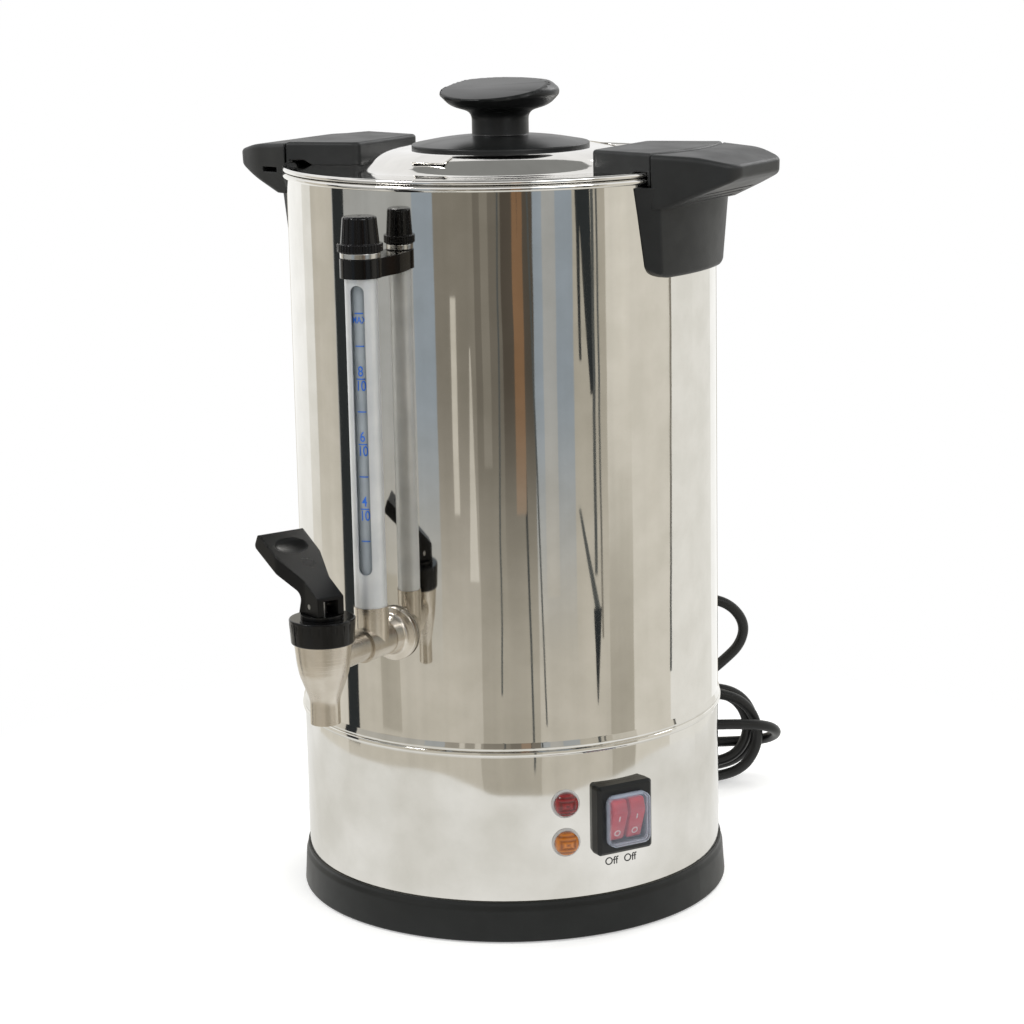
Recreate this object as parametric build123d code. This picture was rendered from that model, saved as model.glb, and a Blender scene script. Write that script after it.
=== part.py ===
from build123d import *
import os
from math import atan2, cos, degrees, pi, radians, sin, sqrt, tan

# Hot water urn, in millimetres. The origin is the centre of the base on the standing surface.
# +Z is up, the tap points to -Y, the handles stand on +X and -X. Each piece that sits on the
# wall is drawn at the front (-Y) and is then turned about Z to its own angle, where a positive
# angle turns it from the tap towards +X.

# --- fits -----------------------------------------------------------------------------------
RUN_FIT = 0.08          # radial clearance of a pin or shaft that turns
LOOSE_FIT = 0.3         # clearance between curved faces of different moving bodies
SEAT_FIT = 0.1          # clearance of a fixed piece in its hole
CUT = 1.0               # how far a cutting body runs past the face that it opens

# --- tank -----------------------------------------------------------------------------------
TANK_OD = 225.0
TANK_R = TANK_OD / 2
SHEET = 0.8             # steel sheet of the tank, lid, floor and housing
TANK_IN = TANK_R - SHEET
SEAM_Z = 102.0          # joint of tank and lower housing
RIM_Z = 388.6           # top of the rolled rim
RIM_BEAD_R = 1.6
RIM_BEAD_OUT = 0.9      # centre of the bead outside the wall
TANK_FOOT_BEAD = 0.9    # how far the small bead above the seam stands out
TANK_FOOT_BEAD_H = 4.4
FLOOR_Z = SEAM_Z + 46.0  # upper face of the welded floor
FLOOR_FLANGE = 8.0
FLOOR_RISE = 2.0        # the floor is crowned so that it drains to the wall
FLOOR_MIDDLE_R = 20.0

# --- lower housing and base -------------------------------------------------------------------
HOUSING_BEAD = 1.3
HOUSING_BEAD_H = 3.4
FEET_H = 3.2
FEET_OUT = 0.8          # how far the feet stand below the base ring
FOOT_R = 7.0
FOOT_PCR = TANK_R - 20.5
BASE_R = TANK_R + 3.2
BASE_TOP_R = BASE_R - 1.1
BASE_H = 21.7
BASE_LIP_R = TANK_R + 1.1
BASE_LIP_H = 2.2
BASE_WALL = 2.2
LEDGE_Z = 8.0           # the steel housing stands on this ledge inside the base ring
COVER_T = 1.5
VENT_COUNT = 12
VENT_PCR = TANK_R - 42.5
VENT_SLOT = (16.0, 3.0)
SCREW_R = 2.0
SCREW_HEAD_R = 3.8
SCREW_HEAD_H = 2.4
BASE_BOSS_R = 4.5
BASE_BOSS_PCR = TANK_R - 9.5

# --- lid ----------------------------------------------------------------------------------------
LID_CHANNEL_Z = RIM_Z + 0.3     # upper face of the flat channel inside the edge
LID_TOP = LID_CHANNEL_Z + 9.4   # upper face of the raised middle
LID_CREST_R = TANK_R - 51.0  # where the flat middle and the sloping shoulder would meet
LID_SLOPE = 38.0
LID_CROWN_ARC = 30.0
LID_COVE_ARC = 13.0
LID_CHANNEL_R = TANK_R - 5.5
LID_EDGE_ARC = 5.0
LID_BEAD_R = 1.2
LID_SKIRT_R = TANK_R - 3.3
LID_SKIRT_H = 8.5
SEAL_H = 5.0
VENT_ANGLE = -2.2
VENT_W = 19.0
VENT_D = 4.0
VENT_RHO = LID_CREST_R + 3.5
VENT_Z = LID_TOP - 1.9  # middle of the raised flap
VENT_HOOD_T = 0.8
VENT_HOOD_L = 9.0
VENT_HOOD_RISE = 1.4

# --- knob ---------------------------------------------------------------------------------------
KNOB_FLANGE_R = LID_CREST_R - 14.8
KNOB_FLANGE_EDGE = 2.0
KNOB_FLANGE_H = 6.2
KNOB_NECK_R = 14.9
KNOB_HEAD_R = 31.2
KNOB_HEAD_Z = LID_TOP + 28.5  # height of the head's widest line
KNOB_TOP_Z = KNOB_HEAD_Z + 6.6
KNOB_NECK_TOP_Z = LID_TOP + 14.7
KNOB_FACET_TILT = 11.5
KNOB_FACET_DROP = 9.1   # the sloping face starts this far below the top, at the front edge
KNOB_SCREW_DEPTH = 12.0

# --- handles and lid lugs -------------------------------------------------------------------------
HANDLE_ANGLES = {"right": 90.0, "left": -90.0}
GAP_R = TANK_R + 4.7  # parting arc between lug and handle
GAP = 1.3
GRIP_LEDGE_Z = RIM_Z - 4.8  # top of the mounting plate, under the lug's lip
GRIP_TOP_Z = RIM_Z + 11.6
GRIP_KNEE = (TANK_R + 21.5, RIM_Z + 10.3)
GRIP_TIP_TOP_Z = RIM_Z + 7.0
GRIP_TIP_BOTTOM_Z = RIM_Z - 0.2
GRIP_ROOT_Z = RIM_Z - 15.1  # underside of the grip at the mounting plate
GRIP_TIP_RHO = TANK_R + 37.9  # at the foot of the flared end
GRIP_ROOT_HALF = 39.4
GRIP_WAIST = (TANK_R + 22.5, 34.2)      # where the curved sides turn in: (distance from the axis, half width)
GRIP_TIP_HALF = 25.6
GRIP_DRAFT = -2.0  # the sides lean out, towards the top
GRIP_CORNER = 11.0
GRIP_SIDE_ARC = 45.0
GRIP_KNEE_ARC = 60.0
GRIP_TIP_BEVEL = 3.0
GRIP_EDGE = 2.4
GRIP_UNDER_EDGE = 2.6
GRIP_GROOVES = 4
GRIP_GROOVE_R = 1.1
GRIP_GROOVE_PITCH = 5.6
PLATE_TOP_R = TANK_R + 8.6
GRIP_FOOT_RHO = PLATE_TOP_R - 2.0       # where the underside leaves the plate
PLATE_BOTTOM_R = TANK_R + 5.5
PLATE_BOTTOM_Z = RIM_Z - 50.6
PLATE_TOP_HALF_DEG = 18.5
PLATE_BOTTOM_HALF_DEG = 16.2
PLATE_FOOT_TOP_DEG = 24.3
PLATE_FOOT_BOTTOM_DEG = 20.4
PLATE_CORNER = 15.0
PLATE_EDGE = 2.2
KEYWAY_Z = RIM_Z - 2.8  # middle of the bayonet keyway in the grip
KEYWAY_H = 2.8
KEYWAY_RHO = TANK_R + 15.5
HANDLE_SCREW_Z = RIM_Z - 28.6
HANDLE_SCREW_DEG = 9.0
HANDLE_SCREW_LEN = 5.0
LUG_TOP_Z = RIM_Z + 12.2
LUG_INNER_RHO = TANK_R - 41.6
LUG_INNER_HALF = 29.3
LUG_OUTER_HALF = 41.4
LUG_CORNER = 4.5
LUG_EDGE = 1.8
LUG_LIP_Z = RIM_Z - 4.0
LUG_SCREW_RHO = TANK_R - 19.5
LUG_SCREW_T = 18.0
LUG_SCREW_LEN = 8.0
SOFT_EDGE = 0.8

# --- tap ----------------------------------------------------------------------------------------
TAP_Z = FLOOR_Z + 13.5
TAP_RHO = TANK_R + 63.0  # from the tank's axis to the spout's axis
SPOUT_Z = TAP_Z - 31.0
SPOUT_BORE_R = 5.5
SPOUT_END_R = 7.5
# outline of the spout: (radius, depth below the tap's middle, arc)
SPOUT_FORM = [(7.4, 18.8, 14.0), (12.1, 6.0, 24.0), (13.2, 0.0, 40.0)]
SPOUT_TOP_R = 14.2
SEAT_Z = TAP_Z - 7.0
CHAMBER_R = 9.3
CHAMBER_OUT_R = CHAMBER_R + 3.0
CHAMBER_TOP_Z = TAP_Z + 16.5
SHANK_R = 7.5
SPIGOT_R = SHANK_R - 1.5
SHANK_BORE_R = 4.5
COLLAR_Z = TAP_Z + 10.0
COLLAR_TOP_Z = TAP_Z + 22.5
COLLAR_R = 15.6
COLLAR_TOP_R = 16.4
COLLAR_LID = 3.0
COLLAR_FLUTES = 24
COLLAR_FLUTE_R = 0.9
FLANGE_R = 14.0
FLANGE_NECK_R = 10.0
FLANGE_RIM_T = 1.6
FLANGE_SHOULDER = 3.2
TAP_SEAL_T = 1.0
SEAL_REACH = 3.0        # how far a seal's blank starts behind the wall, before its back is cut to it
LOCK_NUT_FLATS = 24.0
LOCK_NUT_T = 6.0
STEM_R = 2.6
STEM_TOP_Z = COLLAR_TOP_Z + 8.2
CUP_R = 8.4
CUP_H = 6.0
STEM_COLLAR_T = 1.2
SPRING_R = 5.6
SPRING_WIRE_R = 0.5
SPRING_TURNS = 5
SADDLE_R = 10.6
SADDLE_T = 2.0
PIN_R = 1.25
PIN_Z = COLLAR_TOP_Z + 6.2
LEVER_TURN = -113.5     # way the lever leans, from the tap's own direction
LEVER_HALF = 7.3
LEVER_FRONT = 8.6
LEVER_HEEL = 7.5
LEVER_SLOT_HALF = 4.0
LEVER_SLOT_TOP_Z = COLLAR_TOP_Z + 9.8
LEVER_SLOPE = 29.0
LEVER_TOP_Z = COLLAR_TOP_Z + 11.3  # upper face at the front of the block
LEVER_LENGTH = 37.5     # from the stem to the paddle's end
LEVER_NECK = 4.0
LEVER_SHOULDER = 21.0
LEVER_TIP_HALF = 12.7
LEVER_T = 6.6
LEVER_TIP_T = 8.0
LEVER_UNDERCUT = 2.0    # the paddle's underside starts this far ahead of the heel
DIMPLE = (8.8, 5.8, 1.3)
DIMPLE_AT = 27.0
LEVER_TILT = 28.0       # how far the lever is pressed

# --- level gauge ----------------------------------------------------------------------------------
GAUGE_RHO = TANK_R + 20.5
TEE_R = 8.7
TEE_TOP_Z = TAP_Z + 18.8
TEE_LENGTH = 20.0
GUARD_R = 8.15
GUARD_WALL = 1.1
GUARD_TOP_Z = RIM_Z - 31.1
GUARD_INSERT = 5.0
GLASS_R = 5.5
GLASS_WALL = 1.2
GLASS_SEAL_H = 4.0
SLOT_W = 7.0
SLOT_Z = (TAP_Z + 35.8, RIM_Z - 46.4)
SLOT_TURN = 17.0
BRACKET_Z = RIM_Z - 43.2
BRACKET_H = 9.4
BRACKET_R = 10.3
FERRULE_R = 10.0
FERRULE_H = 3.0
FERRULE_EDGE = 0.5
CAP_RING_R = 11.3
CAP_RING_H = 4.0
CAP_R = 9.6
CAP_TOP_R = 8.4
CAP_H = 17.2
CAP_KNURLS = 40
CAP_FLUTES = 12
CAP_VENT_R = 0.9
CAP_TOP_T = 2.0
CAP_KNURL_R = 0.55
CAP_FLUTE_R = 0.8

# --- switch and lamps ---------------------------------------------------------------------------
SWITCH_ANGLE = 60.6
SWITCH_Z = 62.6
FRAME_W = 32.5
FRAME_H = 37.0
FRAME_OUT = 5.6         # front of the frame, outside the wall
FRAME_BEVEL = 1.6
FRAME_CORNER = 2.0
SWITCH_BODY = (23.0, 29.0, 26.0)
SWITCH_WINDOW = (21.0, 23.6)
ROCKER_W = 9.6
ROCKER_H = 22.6
ROCKER_PITCH = 10.4
ROCKER_PIVOT = 2.2      # pivot behind the frame's front
ROCKER_THROW = 20.0
ROCKER_FACE = 5.0
ROCKER_PIN_R = 1.1      # bar across the window, on which both rockers turn
ROCKER_END = 3.4        # how far the rocker's ends stand before its pivot
ROCKER_MIDDLE = 2.6     # and its hollow middle
COVER_W = 24.2
COVER_H = 27.0
COVER_OUT = 6.0
COVER_WALL = 0.9
COVER_CORNER = 4.0
COVER_EDGE = 2.6
TAB_SIZE = (4.8, 0.8, 8.0)
TAB_SINK = 0.5          # how far a tab reaches into its body
TAB_SPREAD = 4.0        # of each of a pair of tabs from the middle
LAMP_TAB_SPREAD = 2.2
LAMP_NUT_OUT = 2.5
LAMP_NUT = (4.0, 2.0)   # back and front of the spring nut, inside the wall
LAMP_ANGLE = 45.0
LAMP_Z = {"boil": 72.9, "warm": 52.2}
LAMP_HOLE_R = 5.2
LAMP_FLANGE_R = 7.5
LAMP_FLANGE_T = 1.6
LENS_R = 6.3
LENS_OUT = 5.6
LENS_EDGE = 3.2
LAMP_BODY_L = 24.0

# --- heating and wiring -----------------------------------------------------------------------------
PLATE_T = 3.0
PLATE_R = TANK_R - 24.5
BOIL_RING_R = PLATE_R - 20.0
BOIL_TUBE_R = 4.0
WARM_RING_R = 40.0
WARM_TUBE_R = 3.2
ELEMENT_GAP = 24.0      # degrees between an element's two ends
COLD_END_L = 16.0
THERMOSTAT_Y = 20.0
CLAMP_T = 2.0
CLAMP_W = 20.0
CLAMP_OVER = 8.0        # how far the bar reaches past the outer element's middle
CLAMP_STUD_R = 3.0
CLAMP_STUD_L = 12.0
CLAMP_NUT = 5.0         # half the flats, and the height, of the nut
THERMOSTAT_R = 9.0
THERMOSTAT_H = 12.0
CUTOUT_R = 9.0
CUTOUT_Z = 24.0
CUTOUT_H = 14.0
CUTOUT_AT = (38.0, 30.0)
RESET_R = 3.0
RESET_TRAVEL = 1.5
TERMINAL_SIZE = (40.0, 18.0, 16.0)
TERMINAL_AT = (0.0, TANK_R - 50.5)
EARTH_AT = (-36.0, TANK_R - 50.5)
TERMINAL_LIFT = 6.0
TERMINAL_POST_R = 3.0
TERMINAL_WELL_R = 2.6
EARTH_R = 2.0
EARTH_L = 14.0
EARTH_WASHER = (5.0, 1.2)
EARTH_NUT = (4.0, 3.2)
WIRE_R = 1.4
WIRE_BEND = 6.0
WIRE_RISE = 14.0        # of the loom over the terminal block
WIRE_LAYER = 4.0        # between one wire and the next, upwards
WIRE_ROW = 8.0          # and across
WIRE_ROW_Y = 10.0

# --- supply cord ------------------------------------------------------------------------------------
CORD_D = 6.2
CORD_ANGLE = 180.0
CORD_Z = 80.0
GLAND_FLANGE_R = 9.0
GLAND_FLANGE_T = 2.2
GLAND_NUT = (7.0, 1.2)  # back and front of the nut, inside the wall
GLAND_R = 7.0
GLAND_TIP_R = 4.6
GLAND_L = 24.0
HANK_TURN = 31.5        # the hank stands behind the tank, turned by this about Z
HANK_RIGHT = 121.0      # centre of the right-hand bends, along the hank
HANK_RUN = 80.0
HANK_BEND_R = 27.0
HANK_DEPTH = (TANK_R + 24.5, TANK_R + 45.1)
HANK_RING = 9.4
WRAP_RIGHT = 141.5      # centre of the right-hand bend of the loose turn round the hank
WRAP_LEFT = 6.0
WRAP_FRONT = (TANK_R + 21.7, 39.5)
WRAP_BACK = (TANK_R + 48.5, 21.0)
ARC_SHARE = 0.45
PLUG_R = 18.5
PLUG_L = 22.0
PLUG_NOSE_L = 14.0
PLUG_BOOT_L = 22.0
PLUG_BOOT_R = 6.2
PLUG_PIN_R = 2.4
PLUG_PIN_L = 19.0
PLUG_PIN_PITCH = 19.0
LEAD_EXIT = 15.5        # straight run out of the gland
PLUG_AT = (-43.5, TANK_R + 19.5, 19.0)
# way of the lead from the gland to the hank, in the hank's own frame: (along, behind the wall, up)
LEAD_WAY = [
    (88.5, 25.0, 90.0), (97.0, 28.5, 101.5), (105.0, 27.5, 112.5), (118.0, 25.0, 117.2),
    (131.0, 23.5, 112.6), (138.6, 24.5, 101.3), (136.3, 27.0, 88.3), (127.0, 30.0, 78.0),
    (115.5, 33.0, 68.8), (103.5, 34.8, 61.0), (92.0, 34.8, 56.0),
]
# way of the tail from the loose turn to the plug, in the same frame
TAIL_WAY = [(-8.0, 37.5, 27.0), (-16.0, 29.5, 24.0), (-24.0, 23.0, 21.0), (-33.5, 19.5, 19.0)]

# --- derived sizes ------------------------------------------------------------------------------------
RIM_OUT_R = TANK_R + RIM_BEAD_OUT + RIM_BEAD_R
LID_BEAD_Z = RIM_Z + LOOSE_FIT + LID_BEAD_R
LID_BEAD_AT = RIM_OUT_R - LID_BEAD_R
FLOOR_UNDER = FLOOR_Z - SHEET
FRAME_RHO = TANK_R + FRAME_OUT
FERRULE_Z = BRACKET_Z + BRACKET_H + SEAT_FIT
CAP_Z = FERRULE_Z + FERRULE_H + LOOSE_FIT


# --- drawing helpers --------------------------------------------------------------------------------
def outline(points):
    """Closed face from (x, y) or (x, y, corner radius) points."""
    places = [(p[0], p[1]) for p in points]
    radii = [p[2] if len(p) > 2 else 0 for p in points]
    if any(radii):
        return make_face(FilletPolyline(*places, radius=radii, close=True))
    return make_face(Polyline(*places, close=True))


def block(x_range, y_range, z_range):
    """Box between two corners."""
    spans = [high - low for low, high in (x_range, y_range, z_range)]
    middle = [(low + high) / 2 for low, high in (x_range, y_range, z_range)]
    return Pos(*middle) * Box(*spans)


def rod(radius, z_low, z_high, x=0.0, y=0.0):
    """Vertical cylinder."""
    return Pos(x, y, (z_low + z_high) / 2) * Cylinder(radius, z_high - z_low)


def band(r_in, r_out, z_low, z_high):
    """Rectangle in the (radius, height) plane, for a ring."""
    return Pos((r_in + r_out) / 2, (z_low + z_high) / 2) * Rectangle(r_out - r_in, z_high - z_low)


def side_plate(side, half_width):
    """Solid of a side view, drawn as (distance from the tank's axis, height), about the X = 0 plane."""
    return Rot(0, 0, -90) * extrude(Plane.XZ * side, half_width, both=True)


def lathe(section, x=0.0, y=0.0):
    """Turned solid from a face in the (radius, height) plane."""
    return Pos(x, y, 0) * revolve(Plane.XZ * section, Axis.Z)


def radial_rod(radius, rho_low, rho_high, z, x=0.0):
    """Cylinder that runs outwards at the front, between two distances from the tank's axis."""
    length = rho_high - rho_low
    return Pos(x, -(rho_low + rho_high) / 2, z) * Rot(90, 0, 0) * Cylinder(radius, length)


def turned(shape, angle):
    """The shape, turned about the tank's axis from the front to its own angle."""
    return Rot(0, 0, angle) * shape


def seated(shape, radius):
    """The shape, with its back cut to the round wall it sits on."""
    box = shape.bounding_box()
    return shape - rod(radius, box.min.Z - CUT, box.max.Z + CUT)


def pan_screw(length):
    """Screw along +Z from the seat of its head, which is at the origin."""
    head = Pos(0, 0, -SCREW_HEAD_H / 2) * Cylinder(SCREW_HEAD_R, SCREW_HEAD_H)
    head = fillet(head.edges().group_by(Axis.Z)[0], SCREW_HEAD_H / 3)
    return head + Pos(0, 0, length / 2) * Cylinder(SCREW_R, length)


# --- tank, housing and base -----------------------------------------------------------------------
def tank_shell():
    """Tank wall with a rolled rim and a small bead at its lower edge."""
    wall = band(TANK_IN, TANK_R, SEAM_Z, RIM_Z - RIM_BEAD_R)
    rim = Pos(TANK_R + RIM_BEAD_OUT, RIM_Z - RIM_BEAD_R) * Circle(RIM_BEAD_R)
    rim += band(TANK_IN, TANK_R + RIM_BEAD_OUT, RIM_Z - 2 * RIM_BEAD_R + SHEET, RIM_Z)
    foot = outline([
        (TANK_IN, SEAM_Z),
        (TANK_R + TANK_FOOT_BEAD / 2, SEAM_Z),
        (TANK_R + TANK_FOOT_BEAD, SEAM_Z + TANK_FOOT_BEAD_H / 3, TANK_FOOT_BEAD),
        (TANK_R, SEAM_Z + TANK_FOOT_BEAD_H, TANK_FOOT_BEAD),
        (TANK_R, SEAM_Z + TANK_FOOT_BEAD_H + SHEET),
        (TANK_IN, SEAM_Z + TANK_FOOT_BEAD_H + SHEET),
    ])
    shell = lathe(wall + rim + foot)
    shell -= radial_rod(SHANK_R + SEAT_FIT, TANK_IN - SHEET, TANK_R + SHEET, TAP_Z)
    for angle in HANDLE_ANGLES.values():
        for side in (-HANDLE_SCREW_DEG, HANDLE_SCREW_DEG):
            hole = radial_rod(SCREW_R + SEAT_FIT, TANK_IN - SHEET, TANK_R + SHEET, HANDLE_SCREW_Z)
            shell -= turned(hole, angle + side)
    return shell


def tank_floor():
    """Crowned floor with a welded flange."""
    r = TANK_IN
    line = FilletPolyline(
        (0, FLOOR_UNDER + SHEET / 2 + FLOOR_RISE),
        (FLOOR_MIDDLE_R, FLOOR_UNDER + SHEET / 2 + FLOOR_RISE),
        (r - SHEET / 2, FLOOR_UNDER + SHEET / 2),
        (r - SHEET / 2, FLOOR_UNDER - FLOOR_FLANGE),
        radius=[FLOOR_MIDDLE_R, FLOOR_FLANGE / 2],
    )
    return lathe(trace(line, SHEET))


def lower_housing():
    """Steel skirt of the compartment with the seam bead and its cut-outs."""
    wall = band(TANK_IN, TANK_R, LEDGE_Z, SEAM_Z)
    bead = outline([
        (TANK_IN, SEAM_Z - HOUSING_BEAD_H - SHEET),
        (TANK_R, SEAM_Z - HOUSING_BEAD_H - SHEET),
        (TANK_R, SEAM_Z - HOUSING_BEAD_H),
        (TANK_R + HOUSING_BEAD, SEAM_Z - HOUSING_BEAD_H / 2 - SHEET / 2, HOUSING_BEAD),
        (TANK_R + HOUSING_BEAD, SEAM_Z - SHEET / 2, SHEET / 2),
        (TANK_R + HOUSING_BEAD / 2, SEAM_Z),
        (TANK_IN, SEAM_Z),
    ])
    housing = lathe(wall + bead)
    width, height, _ = SWITCH_BODY
    window = block(
        (-width / 2 - SEAT_FIT, width / 2 + SEAT_FIT),
        (-TANK_R - HOUSING_BEAD, -TANK_IN + 2 * HOUSING_BEAD),
        (SWITCH_Z - height / 2 - SEAT_FIT, SWITCH_Z + height / 2 + SEAT_FIT),
    )
    housing -= turned(window, SWITCH_ANGLE)
    for z in LAMP_Z.values():
        hole = radial_rod(LAMP_HOLE_R + SEAT_FIT, TANK_IN - SHEET, TANK_R + SHEET, z)
        housing -= turned(hole, LAMP_ANGLE)
    gland = radial_rod(GLAND_R + SEAT_FIT, TANK_IN - SHEET, TANK_R + SHEET, CORD_Z)
    return housing - turned(gland, CORD_ANGLE)


def base_skirt():
    """Moulded base ring: a skirt, a recessed lip beside the steel and bosses for the cover."""
    inner = TANK_R + SEAT_FIT
    skirt = outline([
        (BASE_R - BASE_WALL, FEET_OUT),
        (BASE_R, FEET_OUT, SOFT_EDGE),
        (BASE_TOP_R, BASE_H - 2 * BASE_LIP_H, BASE_LIP_H),
        (BASE_LIP_R, BASE_H - BASE_LIP_H),
        (BASE_LIP_R, BASE_H),
        (inner, BASE_H),
        (inner, LEDGE_Z),
        (TANK_IN - BASE_WALL, LEDGE_Z),
        (TANK_IN - BASE_WALL, LEDGE_Z - BASE_WALL),
        (BASE_R - 2 * BASE_WALL, LEDGE_Z - BASE_WALL),
        (BASE_R - 2 * BASE_WALL, FEET_OUT),
    ])
    ring = lathe(skirt)
    for index in range(4):
        boss = rod(BASE_BOSS_R, FEET_OUT + COVER_T + SEAT_FIT, LEDGE_Z + BASE_WALL, 0, -BASE_BOSS_PCR)
        tie = block(
            (-BASE_WALL / 2, BASE_WALL / 2), (-BASE_R + 2 * BASE_WALL, -BASE_BOSS_PCR),
            (FEET_OUT + COVER_T + SEAT_FIT, LEDGE_Z),
        )
        hole = rod(SCREW_R + SEAT_FIT, 0, LEDGE_Z + 2 * BASE_WALL, 0, -BASE_BOSS_PCR)
        ring = ring + turned(boss + tie, index * 90 + 45) - turned(hole, index * 90 + 45)
    return ring


def bottom_cover():
    """Flat plate with a ring of vents, held by four screws, with holes for the feet and the reset."""
    edge_r = BASE_R - 2 * BASE_WALL - SEAT_FIT
    plate = lathe(band(0, edge_r, FEET_OUT, FEET_OUT + COVER_T))
    length, width = VENT_SLOT
    for index in range(VENT_COUNT):
        slot = Pos(0, -VENT_PCR, FEET_OUT) * extrude(Rot(0, 0, 90) * SlotOverall(length, width), 2 * COVER_T)
        plate -= turned(slot, index * 360 / VENT_COUNT)
    for index in range(4):
        plate -= turned(rod(SCREW_R + SEAT_FIT, 0, 2 * COVER_T + CUT, 0, -BASE_BOSS_PCR), index * 90 + 45)
        plate -= turned(rod(FOOT_R / 2, 0, 2 * COVER_T + CUT, 0, -FOOT_PCR), index * 90)
    plate -= rod(FOOT_R / 2, 0, 2 * COVER_T + CUT)
    return plate - rod(RESET_R + LOOSE_FIT, 0, 2 * COVER_T + CUT, *CUTOUT_AT)


def rubber_feet():
    """Four feet near the edge and one in the middle, pushed into the cover from below."""
    pad = rod(FOOT_R, 0, FEET_OUT)
    stud = rod(FOOT_R / 2 - SEAT_FIT, 0, FEET_H)
    cap = rod(FOOT_R / 2 + FEET_OUT, FEET_OUT + COVER_T, FEET_H)
    foot = pad + stud + cap
    return Compound([foot] + [turned(Pos(0, -FOOT_PCR, 0) * foot, index * 90) for index in range(4)])


def bottom_screws():
    """Four screws that hold the cover to the base ring, with flush heads."""
    length = LEDGE_Z - FEET_OUT
    head = rod(SCREW_HEAD_R, FEET_OUT - FEET_OUT / 2, FEET_OUT)
    shank = rod(SCREW_R, FEET_OUT, FEET_OUT + length)
    screw = Pos(0, -BASE_BOSS_PCR, 0) * (head + shank)
    return Compound([turned(screw, index * 90 + 45) for index in range(4)])


# --- lid ------------------------------------------------------------------------------------------
def lid_points(inset):
    """Upper face of the lid, or a line at a depth below it: (radius, height, arc) to the channel's edge."""
    top, channel = LID_TOP - inset, LID_CHANNEL_Z - inset
    lean = tan(radians(LID_SLOPE / 2))
    foot_r = LID_CREST_R + (LID_TOP - LID_CHANNEL_Z) / tan(radians(LID_SLOPE))
    return [
        (0, top, 0), (LID_CREST_R - inset * lean, top, LID_CROWN_ARC - inset),
        (foot_r - inset * lean, channel, LID_COVE_ARC + inset),
        (LID_CHANNEL_R, channel, LID_EDGE_ARC + inset),
    ]


def lid_line():
    """Middle line of the lid's sheet in the (radius, height) plane, from the axis to the rolled edge."""
    points = lid_points(SHEET / 2)
    points += [(LID_BEAD_AT - 2 * LID_BEAD_R, LID_BEAD_Z, LID_BEAD_R), (LID_BEAD_AT, LID_BEAD_Z, 0)]
    return FilletPolyline(*[point[:2] for point in points], radius=[point[2] for point in points[1:-1]])


def lid_below():
    """Everything under the lid's upper face and round its rolled edge, to cut the lugs to the lid."""
    low = LUG_LIP_Z - 1
    bead_r = RIM_OUT_R + LOOSE_FIT
    bead_top = LID_BEAD_Z + LID_BEAD_R + SEAT_FIT
    points = [(0, low)] + lid_points(0)[:-1] + [
        (LID_CHANNEL_R - LID_EDGE_ARC, LID_CHANNEL_Z), (LID_CHANNEL_R, bead_top),
        (bead_r, bead_top), (bead_r, low),
    ]
    return lathe(outline(points))


def vent_hood():
    """Raised flap of the steam vent at the front, before it is turned to its angle."""
    flap = Box(VENT_W, VENT_HOOD_L, VENT_HOOD_T)
    side = (VENT_HOOD_T - VENT_W) / 2
    end = Pos(side, 0, -VENT_HOOD_RISE) * Box(VENT_HOOD_T, VENT_HOOD_L, 2 * VENT_HOOD_RISE)
    place = Pos(0, -VENT_RHO + VENT_HOOD_L / 4, VENT_Z)
    return place * Rot(LID_SLOPE / 2, 0, 0) * (flap + end)


def lid_dish():
    """Pressed lid: raised middle, sloping shoulder, flat channel, rolled edge and inner skirt."""
    sheet = trace(lid_line(), SHEET)
    bead = Pos(LID_BEAD_AT, LID_BEAD_Z) * Circle(LID_BEAD_R)
    skirt_low = LID_CHANNEL_Z - LID_SKIRT_H
    skirt = band(LID_SKIRT_R - SHEET, LID_SKIRT_R, skirt_low, LID_CHANNEL_Z)
    dish = lathe(sheet + bead + skirt)
    slot = block(
        (-VENT_W / 2, VENT_W / 2), (-VENT_RHO - VENT_D / 2, -VENT_RHO + VENT_D / 2),
        (LID_CHANNEL_Z, LID_TOP + SHEET),
    )
    dish = dish - turned(slot, VENT_ANGLE) + turned(vent_hood(), VENT_ANGLE)
    dish -= rod(SCREW_R + SEAT_FIT, LID_CHANNEL_Z, LID_TOP + SHEET)
    for angle in HANDLE_ANGLES.values():
        for x in (-LUG_SCREW_T, LUG_SCREW_T):
            low, high = LID_CHANNEL_Z - 2 * SHEET, LID_CHANNEL_Z + SHEET
            hole = rod(SCREW_R + SEAT_FIT, low, high, x, -LUG_SCREW_RHO)
            dish -= turned(hole, angle)
    return dish


def lid_seal():
    """Soft ring round the lid's skirt, inside the tank's mouth."""
    inner = LID_SKIRT_R + SEAT_FIT
    outer = TANK_IN - LOOSE_FIT
    top = LID_CHANNEL_Z - SHEET - LOOSE_FIT
    lip = (outer - inner) / 3
    return lathe(outline([
        (inner, top - SEAL_H), (inner + lip, top - SEAL_H), (outer, top - SEAL_H / 2),
        (outer, top), (inner, top),
    ]))


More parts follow.
